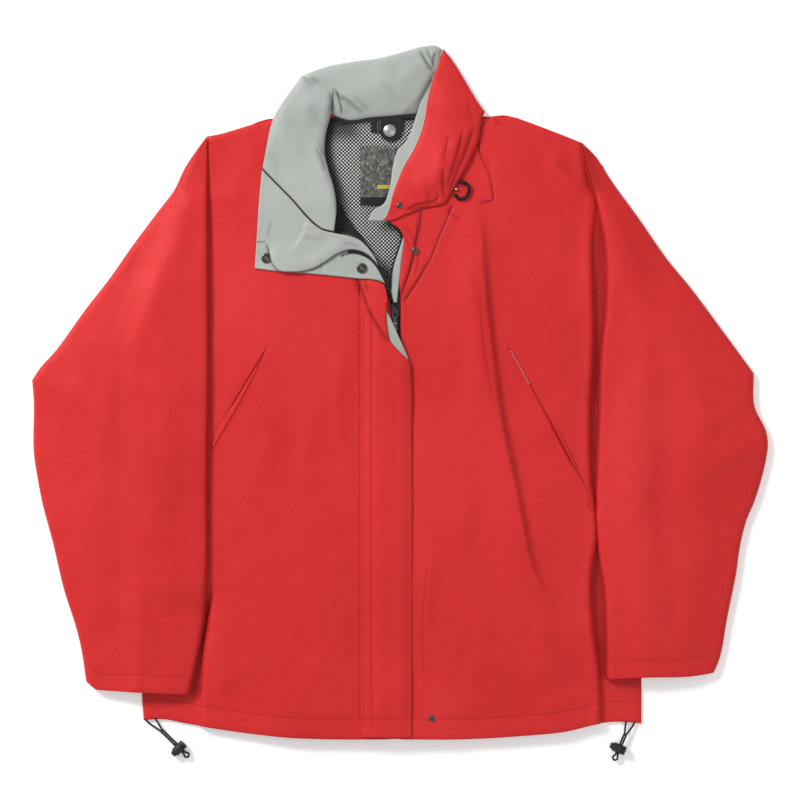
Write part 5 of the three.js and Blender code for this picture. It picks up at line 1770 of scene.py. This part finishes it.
def ring_snap(tag, x, y):
    z = press_level(lapel, x, y, 0.15)
    lathe(f"snap_ring_{tag}", [(2.15, 0.0), (6.0, 0.0), (6.3, 0.35), (6.2, 0.9), (5.7, 1.4), (5.0, 1.65), (4.4, 1.5),
                               (4.0, 0.9), (3.3, 0.75), (2.5, 0.8), (2.15, 0.6), (2.15, 0.0)], (x, y, z), GUN,
          "jacket", [f"snap_socket_{tag}"], "snap_metal", 48)
    lathe(f"snap_post_{tag}", [(0, -1.5), (1.75, -1.5), (1.75, 0.7), (1.5, 0.95), (0.8, 1.15), (0, 1.2)], (x, y, z),
          GUN, "jacket", [f"snap_rivet_{tag}"], "snap_metal", 32)


def stud_snap(tag, x, y, shape):
    z = press_level(shape, x, y, 0.05)
    lathe(f"snap_button_{tag}", [(0, -0.8), (1.8, -0.8), (1.8, 0.1), (3.7, 0.1), (3.9, 0.3), (3.8, 0.6), (3.2, 0.8),
                                 (2.3, 0.9), (2.15, 1.4), (2.5, 1.9), (2.45, 2.3), (1.9, 2.55), (1.0, 2.65), (0, 2.6)],
          (x, y, z), GUN, "jacket", [f"snap_stud_{tag}"], "snap_metal", 40)


ring_snap("a", -149.7, 160)
ring_snap("b", -35.6, 148)
stud_snap("c", 9.4, 223, left_collar)
stud_snap("d", 27.8, 169.3, left_shell)
stud_snap("hem", 48.4, -390.6, left_shell)

# ---- hood cord
RING = [(80.2, 250.6), (83.5, 251.6), (88, 250.3), (91.6, 247.4), (92.4, 241), (90.4, 235), (84.4, 231), (78.4, 232.4),
        (75.8, 237)]
ring_z = max(press_level(left_shell, *p) for p in RING) + 2.0
cord("hood_cord_braid", [(*p, ring_z) for p in RING], 1.9, "hood_cord_loop")
bead_z = press_level(left_shell, 77.4, 242.6) + 2.2
lathe("hood_cord_ball", [(2.1 * math.sin(a), -2.1 * math.cos(a)) for a in np.linspace(0, math.pi, 16)],
      (77.4, 242.6, bead_z), STEEL, "jacket", ["hood_cord_bead"], "bright_metal", 28)

# ---- floor, light
floor_shader = Shader("floor")
floor_shader.colour(floor_shader.mix(floor_shader.noise(2.0), (0.93, 0.93, 0.93), (0.95, 0.95, 0.95)))
floor_shader.set(Roughness=0.9, Specular_IOR_Level=0.1, Emission_Color=(1, 1, 1, 1), Emission_Strength=0.22)
bpy.ops.mesh.primitive_plane_add(size=14, location=(0, 0, -0.0005))
floor = bpy.context.object
floor.name = "floor"
floor.data.materials.append(floor_shader.mat)


def area_light(name, place, size, power):
    data = bpy.data.lights.new(name, "AREA")
    data.shape, data.size, data.energy, data.color = "SQUARE", size, power, (1, 1, 1)
    lamp = bpy.data.objects.new(name, data)
    lamp.location = place
    lamp.rotation_euler = (-Vector(place)).to_track_quat("-Z", "Y").to_euler()
    bpy.context.scene.collection.objects.link(lamp)


area_light("key", (-2.5, 2.2, 2.4), 1.0, 136)
area_light("fill", (1.4, -0.6, 2.6), 2.2, 12)
sky = bpy.data.worlds.new("studio")
sky.use_nodes = True
sky.node_tree.nodes["Background"].inputs["Color"].default_value = (1, 1, 1, 1)
sky.node_tree.nodes["Background"].inputs["Strength"].default_value = 0.48
bpy.context.scene.world = sky
bpy.context.scene.view_settings.view_transform = "Standard"
